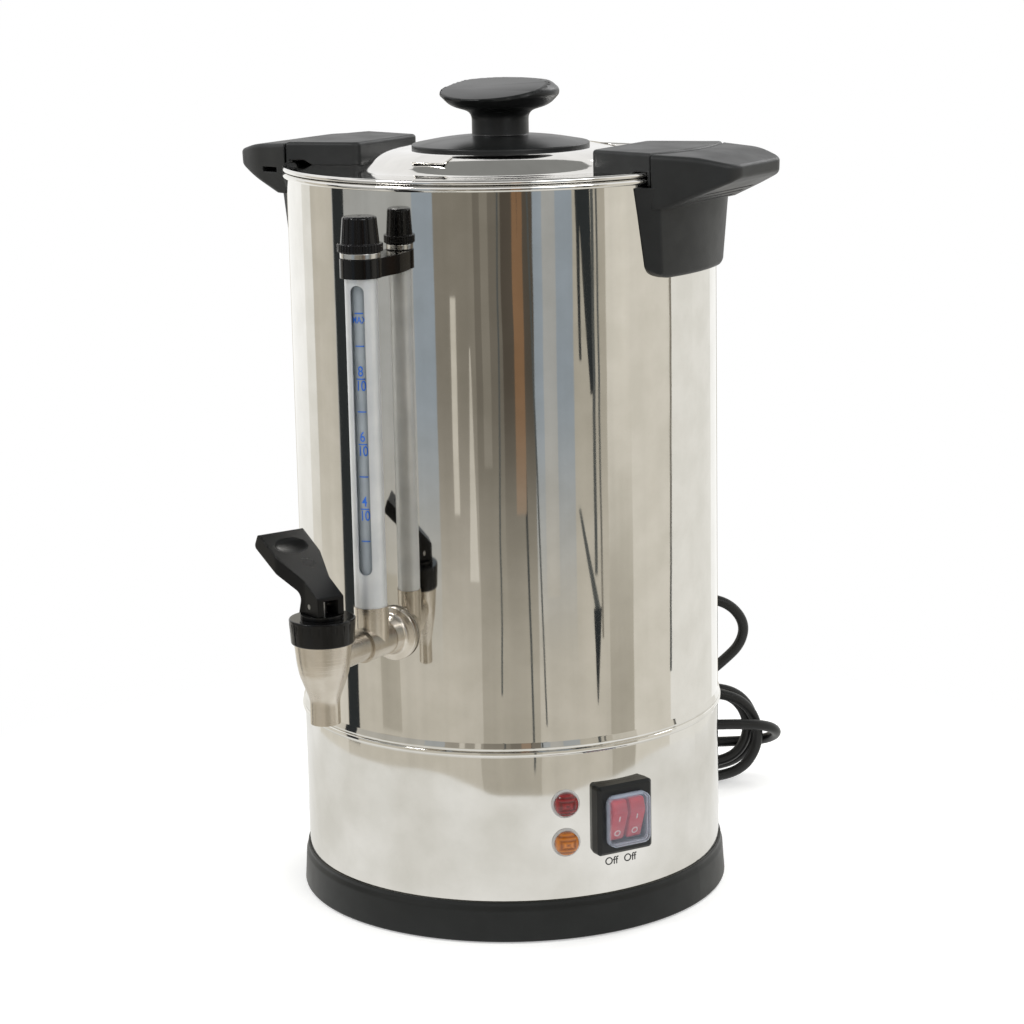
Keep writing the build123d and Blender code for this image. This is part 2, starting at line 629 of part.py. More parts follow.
def lid_lug(angle):
    """Block on the lid that lines up with a handle, with a lip that hangs over the rim."""
    outer_r = GAP_R - GAP / 2 + GAP / 6
    reach = outer_r + SHEET
    plan = outline([
        (-LUG_INNER_HALF, -LUG_INNER_RHO, LUG_CORNER), (LUG_INNER_HALF, -LUG_INNER_RHO, LUG_CORNER),
        (LUG_OUTER_HALF, -reach), (-LUG_OUTER_HALF, -reach),
    ])
    body = Pos(0, 0, LUG_LIP_Z) * extrude(plan, LUG_TOP_Z - LUG_LIP_Z)
    body &= rod(outer_r, LUG_LIP_Z, LUG_TOP_Z)
    body = fillet(body.edges().group_by(Axis.Z)[-1], LUG_EDGE)
    body -= lid_below()
    for x in (-LUG_SCREW_T, LUG_SCREW_T):
        top = LID_CHANNEL_Z + LUG_SCREW_LEN
        body -= rod(SCREW_R + SEAT_FIT, LID_CHANNEL_Z - CUT, top, x, -LUG_SCREW_RHO)
    return turned(body, angle)


def lid_knob():
    """Mushroom knob on a wide domed flange, with one sloping face on its head."""
    head_r, head_z = KNOB_HEAD_R, KNOB_HEAD_Z
    neck_r, neck_top = KNOB_NECK_R, KNOB_NECK_TOP_Z
    base = LID_TOP
    rise = head_z - neck_top
    crown = KNOB_TOP_Z - head_z
    profile = outline([
        (0, base), (KNOB_FLANGE_R, base), (KNOB_FLANGE_R, base + KNOB_FLANGE_EDGE, SOFT_EDGE),
        ((KNOB_FLANGE_R + neck_r) / 2, base + KNOB_FLANGE_H * 0.8, KNOB_FLANGE_R / 2),
        (neck_r, base + KNOB_FLANGE_H, SOFT_EDGE), (neck_r, neck_top + rise / 4, rise / 3),
        (head_r * 0.84, head_z - rise / 2, rise / 2), (head_r, head_z - crown / 4, crown / 3),
        (head_r, head_z + crown / 5, crown / 3), (head_r * 0.86, KNOB_TOP_Z - crown / 5, crown),
        (head_r * 0.5, KNOB_TOP_Z, crown), (0, KNOB_TOP_Z),
    ])
    knob = lathe(profile)
    facet = Pos(0, -head_r, KNOB_TOP_Z - KNOB_FACET_DROP) * Rot(KNOB_FACET_TILT, 0, 0)
    knob -= facet * Pos(0, head_r, head_r) * Box(4 * head_r, 6 * head_r, 2 * head_r)
    return knob - rod(SCREW_R + SEAT_FIT, base - CUT, base + KNOB_SCREW_DEPTH)


def lid_screws():
    """Screws from under the lid: one into the knob and two into each lug."""
    screws = [Pos(0, 0, LID_TOP - SHEET) * pan_screw(KNOB_SCREW_DEPTH)]
    for angle in HANDLE_ANGLES.values():
        for x in (-LUG_SCREW_T, LUG_SCREW_T):
            place = Pos(x, -LUG_SCREW_RHO, LID_CHANNEL_Z - SHEET)
            screws.append(turned(place * pan_screw(LUG_SCREW_LEN), angle))
    return Compound(screws)


# --- handles --------------------------------------------------------------------------------------
def plate_section(outer_r, half_deg, foot_deg, z):
    """Level section of a handle's mounting plate: an arc between two slanted sides."""
    def at(radius, deg):
        return (radius * sin(radians(deg)), -radius * cos(radians(deg)), z)
    inner = TANK_R - 2 * SHEET
    outer_arc = ThreePointArc(at(outer_r, -half_deg), at(outer_r, 0), at(outer_r, half_deg))
    inner_arc = ThreePointArc(at(inner, foot_deg), at(inner, 0), at(inner, -foot_deg))
    sides = [Line(outer_arc @ 1, inner_arc @ 0), Line(inner_arc @ 1, outer_arc @ 0)]
    return make_face([outer_arc, sides[0], inner_arc, sides[1]])


def mounting_plate():
    """Curved, tapered plate with rounded lower corners that lies on the tank's wall."""
    sections = [
        plate_section(PLATE_BOTTOM_R, PLATE_BOTTOM_HALF_DEG, PLATE_FOOT_BOTTOM_DEG, PLATE_BOTTOM_Z),
        plate_section(PLATE_TOP_R, PLATE_TOP_HALF_DEG, PLATE_FOOT_TOP_DEG, GRIP_LEDGE_Z),
    ]
    plate = loft(sections, ruled=True)
    top_half = TANK_R * sin(radians(PLATE_FOOT_TOP_DEG)) + SHEET
    bottom_half = TANK_R * sin(radians(PLATE_FOOT_BOTTOM_DEG)) - SHEET
    shape = outline([
        (-top_half, GRIP_LEDGE_Z), (-bottom_half, PLATE_BOTTOM_Z, PLATE_CORNER),
        (bottom_half, PLATE_BOTTOM_Z, PLATE_CORNER), (top_half, GRIP_LEDGE_Z),
    ])
    plate &= extrude(Plane.XZ * shape, PLATE_TOP_R + PLATE_CORNER)
    outer = plate.edges().filter_by(
        lambda edge: -edge.center().Y > PLATE_BOTTOM_R - 2 * PLATE_EDGE and edge.center().Z < GRIP_ROOT_Z)
    return fillet(outer, PLATE_EDGE)


def grip():
    """Drafted, sloping grip with finger grooves underneath."""
    low = GRIP_ROOT_Z - 2
    root_rho = TANK_R - 2 * SHEET
    waist_rho, waist_half = GRIP_WAIST
    plan = outline([
        (-GRIP_TIP_HALF, -GRIP_TIP_RHO, GRIP_CORNER), (GRIP_TIP_HALF, -GRIP_TIP_RHO, GRIP_CORNER),
        (waist_half, -waist_rho, GRIP_SIDE_ARC), (GRIP_ROOT_HALF, -root_rho),
        (-GRIP_ROOT_HALF, -root_rho), (-waist_half, -waist_rho, GRIP_SIDE_ARC),
    ])
    body = Pos(0, 0, low) * extrude(plan, GRIP_TOP_Z - low + 1, taper=GRIP_DRAFT)
    knee_rho, knee_z = GRIP_KNEE
    tip_back = GRIP_TIP_RHO - GRIP_TIP_BEVEL
    tip_front = GRIP_TIP_RHO + GRIP_TIP_BEVEL / 2
    side = outline([
        (root_rho, GRIP_ROOT_Z), (GRIP_FOOT_RHO, GRIP_ROOT_Z), (tip_back, GRIP_TIP_BOTTOM_Z - GRIP_EDGE, 6),
        (tip_front, GRIP_TIP_BOTTOM_Z + GRIP_EDGE / 3), (tip_front, GRIP_TIP_TOP_Z - 1),
        (tip_back, GRIP_TIP_TOP_Z, GRIP_TIP_BEVEL), (knee_rho, knee_z, GRIP_KNEE_ARC), (root_rho, GRIP_TOP_Z),
    ])
    body &= side_plate(side, GRIP_ROOT_HALF + 5)
    rim = body.edges().filter_by(
        lambda edge: edge.center().Z > GRIP_TIP_TOP_Z - GRIP_EDGE and -edge.center().Y > TANK_R + SHEET)
    body = fillet(rim, GRIP_EDGE)
    under = body.edges().filter_by(
        lambda edge: edge.center().Z < GRIP_TIP_BOTTOM_Z and -edge.center().Y > PLATE_TOP_R)
    return fillet(under, GRIP_UNDER_EDGE)


def grip_grooves():
    """Finger grooves across the underside of the grip."""
    run = GRIP_TIP_RHO - GRIP_TIP_BEVEL - GRIP_FOOT_RHO
    slope = (GRIP_TIP_BOTTOM_Z - GRIP_EDGE - GRIP_ROOT_Z) / run
    grooves = []
    for index in range(GRIP_GROOVES):
        rho = GRIP_TIP_RHO - 3 * GRIP_CORNER / 2 - index * GRIP_GROOVE_PITCH
        z = GRIP_ROOT_Z + slope * (rho - GRIP_FOOT_RHO)
        grooves.append(Pos(0, -rho, z) * Rot(0, 90, 0) * Cylinder(GRIP_GROOVE_R, 2 * GRIP_TIP_HALF))
    return grooves


def handle(angle):
    """Handle with its grip, mounting plate, parting arc, keyway and screw holes."""
    grip_body = grip() - rod(GAP_R + GAP / 2, GRIP_LEDGE_Z, GRIP_TOP_Z + 5)
    for groove in grip_grooves():
        grip_body -= groove
    body = grip_body + mounting_plate()
    body -= rod(TANK_R, PLATE_BOTTOM_Z - 5, GRIP_TOP_Z + 5)
    body -= block(
        (0, 2 * GRIP_ROOT_HALF), (-KEYWAY_RHO, -GAP_R), (KEYWAY_Z - KEYWAY_H / 2, KEYWAY_Z + KEYWAY_H / 2),
    )
    for side in (-HANDLE_SCREW_DEG, HANDLE_SCREW_DEG):
        reach = TANK_R + HANDLE_SCREW_LEN + SEAT_FIT
        body -= turned(radial_rod(SCREW_R + SEAT_FIT, TANK_IN, reach, HANDLE_SCREW_Z), side)
    return turned(body, angle)


def handle_screws():
    """Two screws for each handle, with their heads inside the tank."""
    screws = []
    for angle in HANDLE_ANGLES.values():
        for side in (-HANDLE_SCREW_DEG, HANDLE_SCREW_DEG):
            place = Pos(0, -(TANK_IN - SHEET / 4), HANDLE_SCREW_Z) * Rot(90, 0, 0)
            screws.append(turned(place * pan_screw(HANDLE_SCREW_LEN + SHEET), angle + side))
    return Compound(screws)


# --- tap ------------------------------------------------------------------------------------------
def tap_body():
    """Spout, valve chamber and the spigot that screws into the tee."""
    side = [(radius, TAP_Z - depth, arc) for radius, depth, arc in SPOUT_FORM]
    profile = outline([(SPOUT_BORE_R, SPOUT_Z), (SPOUT_END_R, SPOUT_Z)] + side + [
        (SPOUT_TOP_R, COLLAR_Z - SEAT_FIT), (CHAMBER_OUT_R, COLLAR_Z - SEAT_FIT),
        (CHAMBER_OUT_R, CHAMBER_TOP_Z), (CHAMBER_R, CHAMBER_TOP_Z),
        (CHAMBER_R, SEAT_Z), (SPOUT_BORE_R, SEAT_Z),
    ])
    body = lathe(profile, 0, -TAP_RHO)
    tee_front = GAUGE_RHO + TEE_LENGTH / 2
    shank = radial_rod(SHANK_R, tee_front + SEAT_FIT, TAP_RHO - CHAMBER_R - CUT, TAP_Z)
    spigot = radial_rod(SPIGOT_R, GAUGE_RHO + GLASS_R, TAP_RHO - CHAMBER_R - CUT, TAP_Z)
    bore = radial_rod(SHANK_BORE_R, GAUGE_RHO, TAP_RHO, TAP_Z)
    return body + shank + spigot - bore


def tap_collar():
    """Fluted bonnet nut that closes the valve chamber."""
    inner = CHAMBER_OUT_R + SEAT_FIT
    section = outline([
        (inner, COLLAR_Z), (COLLAR_R, COLLAR_Z, SOFT_EDGE), (COLLAR_TOP_R, COLLAR_TOP_Z, SOFT_EDGE),
        (STEM_R + RUN_FIT, COLLAR_TOP_Z), (STEM_R + RUN_FIT, COLLAR_TOP_Z - COLLAR_LID),
        (inner, COLLAR_TOP_Z - COLLAR_LID),
    ])
    collar = lathe(section, 0, -TAP_RHO)
    length = COLLAR_TOP_Z - COLLAR_Z - COLLAR_LID / 2
    flute = Cylinder(COLLAR_FLUTE_R, length + CUT)
    for index in range(COLLAR_FLUTES):
        turn = index * 360 / COLLAR_FLUTES
        cutter = Pos(0, -(COLLAR_TOP_R + COLLAR_FLUTE_R / 2), COLLAR_Z + (length - CUT) / 2) * flute
        collar -= Pos(0, -TAP_RHO, 0) * Rot(0, 0, turn) * cutter
    return collar


def valve_stem():
    """Stem from the valve cup up to the lever's pin."""
    stem = rod(STEM_R, SEAT_Z + CUP_H / 2, STEM_TOP_Z, 0, -TAP_RHO)
    cup_top = SEAT_Z + CUP_H
    collar = rod(SPRING_R + SPRING_WIRE_R, cup_top + SEAT_FIT, cup_top + STEM_COLLAR_T, 0, -TAP_RHO)
    hole = Pos(0, -TAP_RHO, PIN_Z) * Rot(0, 90, 0) * Cylinder(PIN_R + RUN_FIT, 4 * STEM_R)
    return Pos(0, -TAP_RHO, 0) * Rot(0, 0, LEVER_TURN) * Pos(0, TAP_RHO, 0) * (stem + collar - hole)


def valve_cup():
    """Soft cup that closes on the seat."""
    low = SEAT_Z + SEAT_FIT
    section = outline([
        (0, low), (CUP_R, low, 0.6), (CUP_R, low + CUP_H / 3, 0.6), (SPRING_R, SEAT_Z + CUP_H),
        (STEM_R, SEAT_Z + CUP_H), (STEM_R, SEAT_Z + CUP_H / 2), (0, SEAT_Z + CUP_H / 2),
    ])
    return lathe(section, 0, -TAP_RHO)


def spring_ends():
    """Lower and upper end of the valve spring."""
    return SEAT_Z + CUP_H + STEM_COLLAR_T, COLLAR_TOP_Z - COLLAR_LID


def valve_spring():
    """Coil spring round the stem, between its collar and the bonnet nut."""
    low, high = spring_ends()
    height = high - low - 2 * SPRING_WIRE_R
    helix = Helix(pitch=height / SPRING_TURNS, height=height, radius=SPRING_R - SPRING_WIRE_R)
    wire = sweep(Plane(helix @ 0, z_dir=helix % 0) * Circle(SPRING_WIRE_R), path=helix, is_frenet=True)
    return Pos(0, -TAP_RHO, low + SPRING_WIRE_R) * wire


def lever_saddle():
    """Washer that turns on the collar and carries the lever's heel."""
    low = COLLAR_TOP_Z + RUN_FIT
    return lathe(band(STEM_R + RUN_FIT, SADDLE_R, low, low + SADDLE_T), 0, -TAP_RHO)


def lever_side():
    """Side view of the lever, which leans to -Y: (distance along the lean, height)."""
    base = COLLAR_TOP_Z + RUN_FIT + SADDLE_T + SEAT_FIT
    rise = tan(radians(LEVER_SLOPE))
    tip_top = LEVER_TOP_Z + (LEVER_FRONT + LEVER_LENGTH) * rise
    lean_x, lean_z = sin(radians(LEVER_SLOPE)), cos(radians(LEVER_SLOPE))
    under = LEVER_TOP_Z + (LEVER_FRONT + LEVER_HEEL - LEVER_UNDERCUT) * rise - LEVER_T / lean_z
    return outline([
        (-LEVER_FRONT, base), (-LEVER_FRONT, LEVER_TOP_Z, 1), (LEVER_LENGTH, tip_top, 1.5),
        (LEVER_LENGTH + LEVER_TIP_T * lean_x, tip_top - LEVER_TIP_T * lean_z, 2),
        (LEVER_HEEL - LEVER_UNDERCUT, under, 5), (LEVER_HEEL, base),
    ])


def lever():
    """Tap lever: a slotted block over the stem and a paddle with a thumb hollow, as it leans."""
    side = lever_side()
    body = side_plate(side, LEVER_TIP_HALF + 1)
    far = LEVER_LENGTH + LEVER_TIP_T
    plan = outline([
        (-LEVER_HALF, LEVER_FRONT), (-LEVER_HALF, -LEVER_NECK, 6), (-LEVER_TIP_HALF, -LEVER_SHOULDER, 8),
        (-LEVER_TIP_HALF, -far, 3), (LEVER_TIP_HALF, -far, 3), (LEVER_TIP_HALF, -LEVER_SHOULDER, 8),
        (LEVER_HALF, -LEVER_NECK, 6), (LEVER_HALF, LEVER_FRONT),
    ])
    low = COLLAR_TOP_Z
    body &= Pos(0, 0, low) * extrude(plan, 3 * LEVER_LENGTH)
    tilt = radians(LEVER_TILT)
    slot_back = STEM_R / cos(tilt) + tan(tilt) * (PIN_Z - COLLAR_TOP_Z - SADDLE_T) + LOOSE_FIT
    body -= block((-LEVER_SLOT_HALF, LEVER_SLOT_HALF), (-slot_back, LEVER_FRONT + 1), (low, LEVER_SLOT_TOP_Z))
    body -= Pos(0, 0, PIN_Z) * Rot(0, 90, 0) * Cylinder(PIN_R + SEAT_FIT / 2, 4 * LEVER_HALF)
    dimple_z = LEVER_TOP_Z + (LEVER_FRONT + DIMPLE_AT) * tan(radians(LEVER_SLOPE))
    hollow = scale(Sphere(1), by=DIMPLE)
    body -= Pos(0, -DIMPLE_AT, dimple_z) * Rot(-LEVER_SLOPE, 0, 0) * hollow
    return Pos(0, -TAP_RHO, 0) * Rot(0, 0, LEVER_TURN) * body


def lever_pin():
    """Pin through the lever and the stem."""
    pin = Rot(0, 90, 0) * Cylinder(PIN_R, 2 * LEVER_HALF - SEAT_FIT)
    return Pos(0, -TAP_RHO, PIN_Z) * Rot(0, 0, LEVER_TURN) * pin


def wall_ring(inner_r, outer_r, rho_low, rho_high, back_r, front_r=None):
    """Ring about the tap's bore that follows the tank's round wall on its back (and its front)."""
    ring = radial_rod(outer_r, rho_low, rho_high, TAP_Z)
    ring -= radial_rod(inner_r, rho_low - CUT, rho_high + CUT, TAP_Z)
    if front_r is not None:
        ring &= rod(front_r, TAP_Z - 2 * outer_r, TAP_Z + 2 * outer_r)
    return ring - rod(back_r, TAP_Z - 2 * outer_r, TAP_Z + 2 * outer_r)


def tap_flange():
    """Dished flange between the wall's seal and the tee."""
    back = TANK_R + TAP_SEAL_T
    tee_back = GAUGE_RHO - TEE_LENGTH / 2
    depth = tee_back - back - SEAT_FIT
    sag = TANK_R - sqrt(TANK_R ** 2 - FLANGE_R ** 2)
    profile = outline([
        (SHANK_R + SEAT_FIT, -sag - CUT), (FLANGE_R, -sag - CUT), (FLANGE_R, FLANGE_RIM_T, SOFT_EDGE),
        (FLANGE_NECK_R, FLANGE_SHOULDER, FLANGE_SHOULDER - SEAT_FIT),
        (FLANGE_NECK_R - 1, depth), (SHANK_R + SEAT_FIT, depth),
    ])
    ring = Pos(0, -back, TAP_Z) * Rot(90, 0, 0) * revolve(Plane.XZ * profile, Axis.Z)
    return ring - rod(back, TAP_Z - 2 * FLANGE_R, TAP_Z + 2 * FLANGE_R)


def tap_seals():
    """Soft washers outside and inside the wall."""
    inner = SHANK_R + SEAT_FIT
    low = TANK_R - SEAL_REACH
    outside = wall_ring(inner, FLANGE_R - 1, low, TANK_R + TAP_SEAL_T, TANK_R, TANK_R + TAP_SEAL_T)
    inside_r = LOCK_NUT_FLATS / 2
    inside = wall_ring(inner, inside_r, low - 2 * TAP_SEAL_T, TANK_R, TANK_IN - TAP_SEAL_T, TANK_IN)
    return Compound([outside, inside])


def nut_face_rho():
    """Distance from the axis of the flat face on which the lock nut bears."""
    return sqrt((TANK_IN - TAP_SEAL_T) ** 2 - (LOCK_NUT_FLATS / 2) ** 2) - 1


def tap_lock_nut():
    """Six-sided nut on the shank inside the tank, with a round washer face."""
    rho = nut_face_rho()
    nut = Pos(0, -rho + LOCK_NUT_T, TAP_Z) * Rot(90, 0, 0) * extrude(
        RegularPolygon(LOCK_NUT_FLATS / 2, 6, major_radius=False), LOCK_NUT_T)
    face = radial_rod(LOCK_NUT_FLATS / 2, rho - 0.5, TANK_IN, TAP_Z)
    face &= rod(TANK_IN - TAP_SEAL_T, TAP_Z - LOCK_NUT_FLATS, TAP_Z + LOCK_NUT_FLATS)
    return nut + face - radial_rod(SHANK_R + SEAT_FIT / 2, rho - 2 * LOCK_NUT_T, TANK_R, TAP_Z)


# --- level gauge ------------------------------------------------------------------------------------
def gauge_tee():
    """Tee between wall and tap: a shank through the wall and a socket for the gauge tube."""
    back, front = GAUGE_RHO - TEE_LENGTH / 2, GAUGE_RHO + TEE_LENGTH / 2
    shank_end = nut_face_rho() - LOCK_NUT_T - 3
    body = radial_rod(TEE_R, back, front, TAP_Z) + radial_rod(SHANK_R, shank_end, back + 1, TAP_Z)
    body += rod(TEE_R, TAP_Z, TEE_TOP_Z, 0, -GAUGE_RHO)
    body -= radial_rod(SHANK_BORE_R, shank_end - 1, front + 1, TAP_Z)
    body -= radial_rod(SPIGOT_R + SEAT_FIT / 2, GAUGE_RHO + GLASS_R - SEAT_FIT, front + 1, TAP_Z)
    body -= rod(GUARD_R + SEAT_FIT / 2, TEE_TOP_Z - GUARD_INSERT, TEE_TOP_Z + 1, 0, -GAUGE_RHO)
    return body - rod(GLASS_R - GLASS_WALL, TAP_Z, TEE_TOP_Z, 0, -GAUGE_RHO)


def gauge_guard():
    """Slotted metal tube round the glass."""
    low = TEE_TOP_Z - GUARD_INSERT + SEAT_FIT
    tube = lathe(band(GUARD_R - GUARD_WALL, GUARD_R, low, GUARD_TOP_Z))
    length = SLOT_Z[1] - SLOT_Z[0]
    slot = Pos(0, -GUARD_R, sum(SLOT_Z) / 2) * Rot(90, 0, 0) * extrude(
        Rot(0, 0, 90) * SlotOverall(length, SLOT_W), GUARD_R / 2, both=True)
    return Pos(0, -GAUGE_RHO, 0) * Rot(0, 0, SLOT_TURN) * (tube - slot)


def glass_ends():
    """Lower and upper end of the sight glass."""
    return TEE_TOP_Z - GUARD_INSERT + SEAT_FIT, GUARD_TOP_Z - 1.0


def gauge_glass():
    """Sight glass."""
    low, high = glass_ends()
    return lathe(band(GLASS_R - GLASS_WALL, GLASS_R, low, high), 0, -GAUGE_RHO)


def gauge_seals():
    """Soft rings that centre the glass at both ends of the guard."""
    low, high = glass_ends()
    inner, outer = GLASS_R + SEAT_FIT / 2, GUARD_R - GUARD_WALL - SEAT_FIT / 2
    rings = [band(inner, outer, low, low + GLASS_SEAL_H), band(inner, outer, high - GLASS_SEAL_H, high)]
    return Compound([lathe(ring, 0, -GAUGE_RHO) for ring in rings])


def gauge_bracket():
    """Moulded clip that holds the guard to the wall."""
    top = BRACKET_Z + BRACKET_H
    ring = rod(BRACKET_R, BRACKET_Z, top, 0, -GAUGE_RHO)
    half = BRACKET_R - CUT
    arm = block((-half, half), (-GAUGE_RHO, -TANK_R + BRACKET_H / 2), (BRACKET_Z, top))
    body = ring + arm - rod(GUARD_R + SEAT_FIT / 2, BRACKET_Z - CUT, top + CUT, 0, -GAUGE_RHO)
    return seated(body, TANK_R)


def gauge_ferrule():
    """Metal ring nut above the bracket."""
    inner, top = GUARD_R + SEAT_FIT / 2, FERRULE_Z + FERRULE_H
    return lathe(outline([
        (inner, FERRULE_Z), (FERRULE_R, FERRULE_Z, FERRULE_EDGE),
        (FERRULE_R, top, FERRULE_EDGE), (inner, top),
    ]), 0, -GAUGE_RHO)


def gauge_cap():
    """Screw cap with a knurled foot, a fluted body and a small vent."""
    low, top = CAP_Z, CAP_Z + CAP_H
    bore = GUARD_R + LOOSE_FIT
    section = outline([
        (bore, low), (CAP_RING_R, low, 0.5), (CAP_RING_R, low + CAP_RING_H, 0.5), (CAP_R, low + CAP_RING_H),
        (CAP_TOP_R, top, 0.7 * CAP_TOP_T), (CAP_VENT_R, top), (CAP_VENT_R, top - CAP_TOP_T),
        (CAP_TOP_R - CAP_TOP_T, top - CAP_TOP_T), (bore - 0.75 * CAP_TOP_T, low + CAP_RING_H / 2),
        (bore, low + CAP_RING_H / 2),
    ])
    cap = lathe(section)
    for index in range(CAP_KNURLS):
        notch = Pos(0, -CAP_RING_R - CAP_KNURL_R / 2, low) * Cylinder(CAP_KNURL_R, 3 * CAP_RING_H)
        cap -= Rot(0, 0, index * 360 / CAP_KNURLS) * notch
    lean = degrees(atan2(CAP_R - CAP_TOP_R, CAP_H - CAP_RING_H))
    flute = Pos(0, 0, CAP_H / 2) * Cylinder(CAP_FLUTE_R, CAP_H)
    flute = Pos(0, -(CAP_R + CAP_FLUTE_R / 2), low + CAP_RING_H) * Rot(-lean, 0, 0) * flute
    for index in range(CAP_FLUTES):
        cap -= Rot(0, 0, index * 360 / CAP_FLUTES) * flute
    return Pos(0, -GAUGE_RHO, 0) * cap


# --- switch and lamps ---------------------------------------------------------------------------
def switch_frame():
    """Bevelled frame that follows the wall on its back, with the rockers' window and pivot bar."""
    back = TANK_R - FRAME_OUT
    plan = RectangleRounded(FRAME_W, FRAME_H, FRAME_CORNER)
    outer = Pos(0, -back, SWITCH_Z) * Rot(90, 0, 0) * extrude(plan, FRAME_RHO - back)
    outer = chamfer(outer.edges().group_by(Axis.Y)[0], FRAME_BEVEL)
    body = seated(outer, TANK_R)
    width, height = SWITCH_WINDOW
    body -= block(
        (-width / 2, width / 2), (-FRAME_RHO - CUT, -back), (SWITCH_Z - height / 2, SWITCH_Z + height / 2),
    )
    bar = Pos(0, -FRAME_RHO + ROCKER_PIVOT, SWITCH_Z) * Rot(0, 90, 0) * Cylinder(ROCKER_PIN_R, width + CUT)
    return body + bar


def switch_body():
    """Housing of the switch behind the wall, with six terminal tabs."""
    width, height, depth = SWITCH_BODY
    front = TANK_R - 2 * SHEET
    win_w, win_h = SWITCH_WINDOW
    low, high = SWITCH_Z - height / 2, SWITCH_Z + height / 2
    body = block((-width / 2, width / 2), (-front, -front + depth), (low, high))
    body &= rod(TANK_R - SEAT_FIT, low, high)
    body -= block(
        (-win_w / 2, win_w / 2), (-front - CUT, -front + depth / 2),
        (SWITCH_Z - win_h / 2, SWITCH_Z + win_h / 2),
    )
    tab_w, tab_t, tab_l = TAB_SIZE
    for x in (-ROCKER_PITCH / 2, ROCKER_PITCH / 2):
        for z in (-height / 3, 0, height / 3):
            place = Pos(x, -front + depth + tab_l / 2 - TAB_SINK, SWITCH_Z + z)
            body += place * Box(tab_w, tab_l, tab_t)
    return body


def switch_cover():
    """Clear soft cover, domed over both rockers."""
    face = FRAME_RHO + SEAT_FIT
    def dome(shrink, out):
        shape = RectangleRounded(COVER_W - 2 * shrink, COVER_H - 2 * shrink, COVER_CORNER - shrink)
        solid = Pos(0, -face, SWITCH_Z) * Rot(90, 0, 0) * extrude(shape, out)
        return fillet(solid.edges().group_by(Axis.Y)[0], COVER_EDGE)
    return dome(0, COVER_OUT) - dome(COVER_WALL, COVER_OUT - COVER_WALL)


def rocker(x):
    """Rocker in its off position: the lower half is pressed in, the upper half stands out."""
    tilt = ROCKER_THROW / 2
    half = ROCKER_H / 2
    pivot_rho = FRAME_RHO - ROCKER_PIVOT
    side = outline([
        (-ROCKER_FACE, -half + 2, 2), (ROCKER_END, -half, 1), (ROCKER_MIDDLE, 0, 4),
        (ROCKER_END, half, 1), (-ROCKER_FACE, half - 2, 2),
    ])
    pivot = Rot(0, 90, 0) * Cylinder(ROCKER_PIN_R + RUN_FIT, 2 * ROCKER_W)
    return Pos(x, -pivot_rho, SWITCH_Z) * Rot(tilt, 0, 0) * (side_plate(side, ROCKER_W / 2) - pivot)


def lamp_lens(z):
    """Coloured domed lens with a clear flange on the wall."""
    back = TANK_R - 2 * SHEET
    flange = radial_rod(LAMP_FLANGE_R, back, TANK_R + LAMP_FLANGE_T, z)
    lens = radial_rod(LENS_R, back, TANK_R + LENS_OUT, z)
    lens = fillet(lens.edges().group_by(Axis.Y)[0], LENS_EDGE)
    return turned(seated(flange + lens, TANK_R), LAMP_ANGLE)


def lamp_bodies():
    """Lamp holders behind the wall, each with a spring nut and two tabs."""
    holders = []
    tab_w, tab_t, tab_l = TAB_SIZE
    for z in LAMP_Z.values():
        holder = radial_rod(LAMP_HOLE_R, TANK_R - LAMP_BODY_L, TANK_R - SEAT_FIT, z)
        holder &= rod(TANK_R, z - 2 * LAMP_HOLE_R, z + 2 * LAMP_HOLE_R)
        nut = radial_rod(LAMP_HOLE_R + LAMP_NUT_OUT, TANK_IN - LAMP_NUT[0], TANK_IN - LAMP_NUT[1], z)
        for x in (-LAMP_TAB_SPREAD, LAMP_TAB_SPREAD):
            holder += Pos(x, -TANK_R + LAMP_BODY_L + tab_l / 2 - TAB_SINK, z) * Box(tab_t, tab_l, tab_w)
        holders.append(turned(holder + nut, LAMP_ANGLE))
    return Compound(holders)


# --- heating and wiring -----------------------------------------------------------------------------
def plate_top():
    """Upper face of the heat plate, just under the crowned floor's lowest inner edge."""
    share = 1 - PLATE_R / TANK_IN
    return FLOOR_UNDER + share * FLOOR_RISE - SEAT_FIT


def heat_plate():
    """Aluminium plate that spreads the elements' heat over the floor."""
    top = plate_top()
    crown = FLOOR_RISE * PLATE_R / TANK_IN
    return lathe(outline([
        (0, top - PLATE_T), (PLATE_R, top - PLATE_T), (PLATE_R, top), (0, top + crown),
    ]))


def element(ring_r, tube_r):
    """Sheathed heating element bent to an open ring under the plate, with two cold ends."""
    z = plate_top() - PLATE_T - tube_r
    path = JernArc(start=(0, -ring_r, z), tangent=(1, 0, 0), radius=ring_r, arc_size=360 - ELEMENT_GAP)
    path = Rot(0, 0, ELEMENT_GAP / 2) * path
    tube = sweep(Plane(path @ 0, z_dir=path % 0) * Circle(tube_r), path=path)
    for end in (path @ 0, path @ 1):
        tube += rod(tube_r, z - COLD_END_L, z, end.X, end.Y)
        tube += Pos(end.X, end.Y, z) * Sphere(tube_r)
    return tube


def element_clamp():
    """Cross bar, stud and nut that press both elements on the plate."""
    z = plate_top() - PLATE_T - 2 * BOIL_TUBE_R
    half = BOIL_RING_R + CLAMP_OVER
    bar = block((-half, half), (-CLAMP_W / 2, CLAMP_W / 2), (z - CLAMP_T, z))
    stud = rod(CLAMP_STUD_R, z - CLAMP_STUD_L, plate_top() - PLATE_T)
    nut = extrude(RegularPolygon(CLAMP_NUT, 6, major_radius=False), CLAMP_NUT)
    nut = Pos(0, 0, z - CLAMP_T - CLAMP_NUT) * nut
    lift = BOIL_TUBE_R * 2 - WARM_TUBE_R * 2
    shims = [rod(CLAMP_NUT, z, z + lift, x, 0) for x in (-WARM_RING_R, WARM_RING_R)]
    return bar + stud + nut + shims


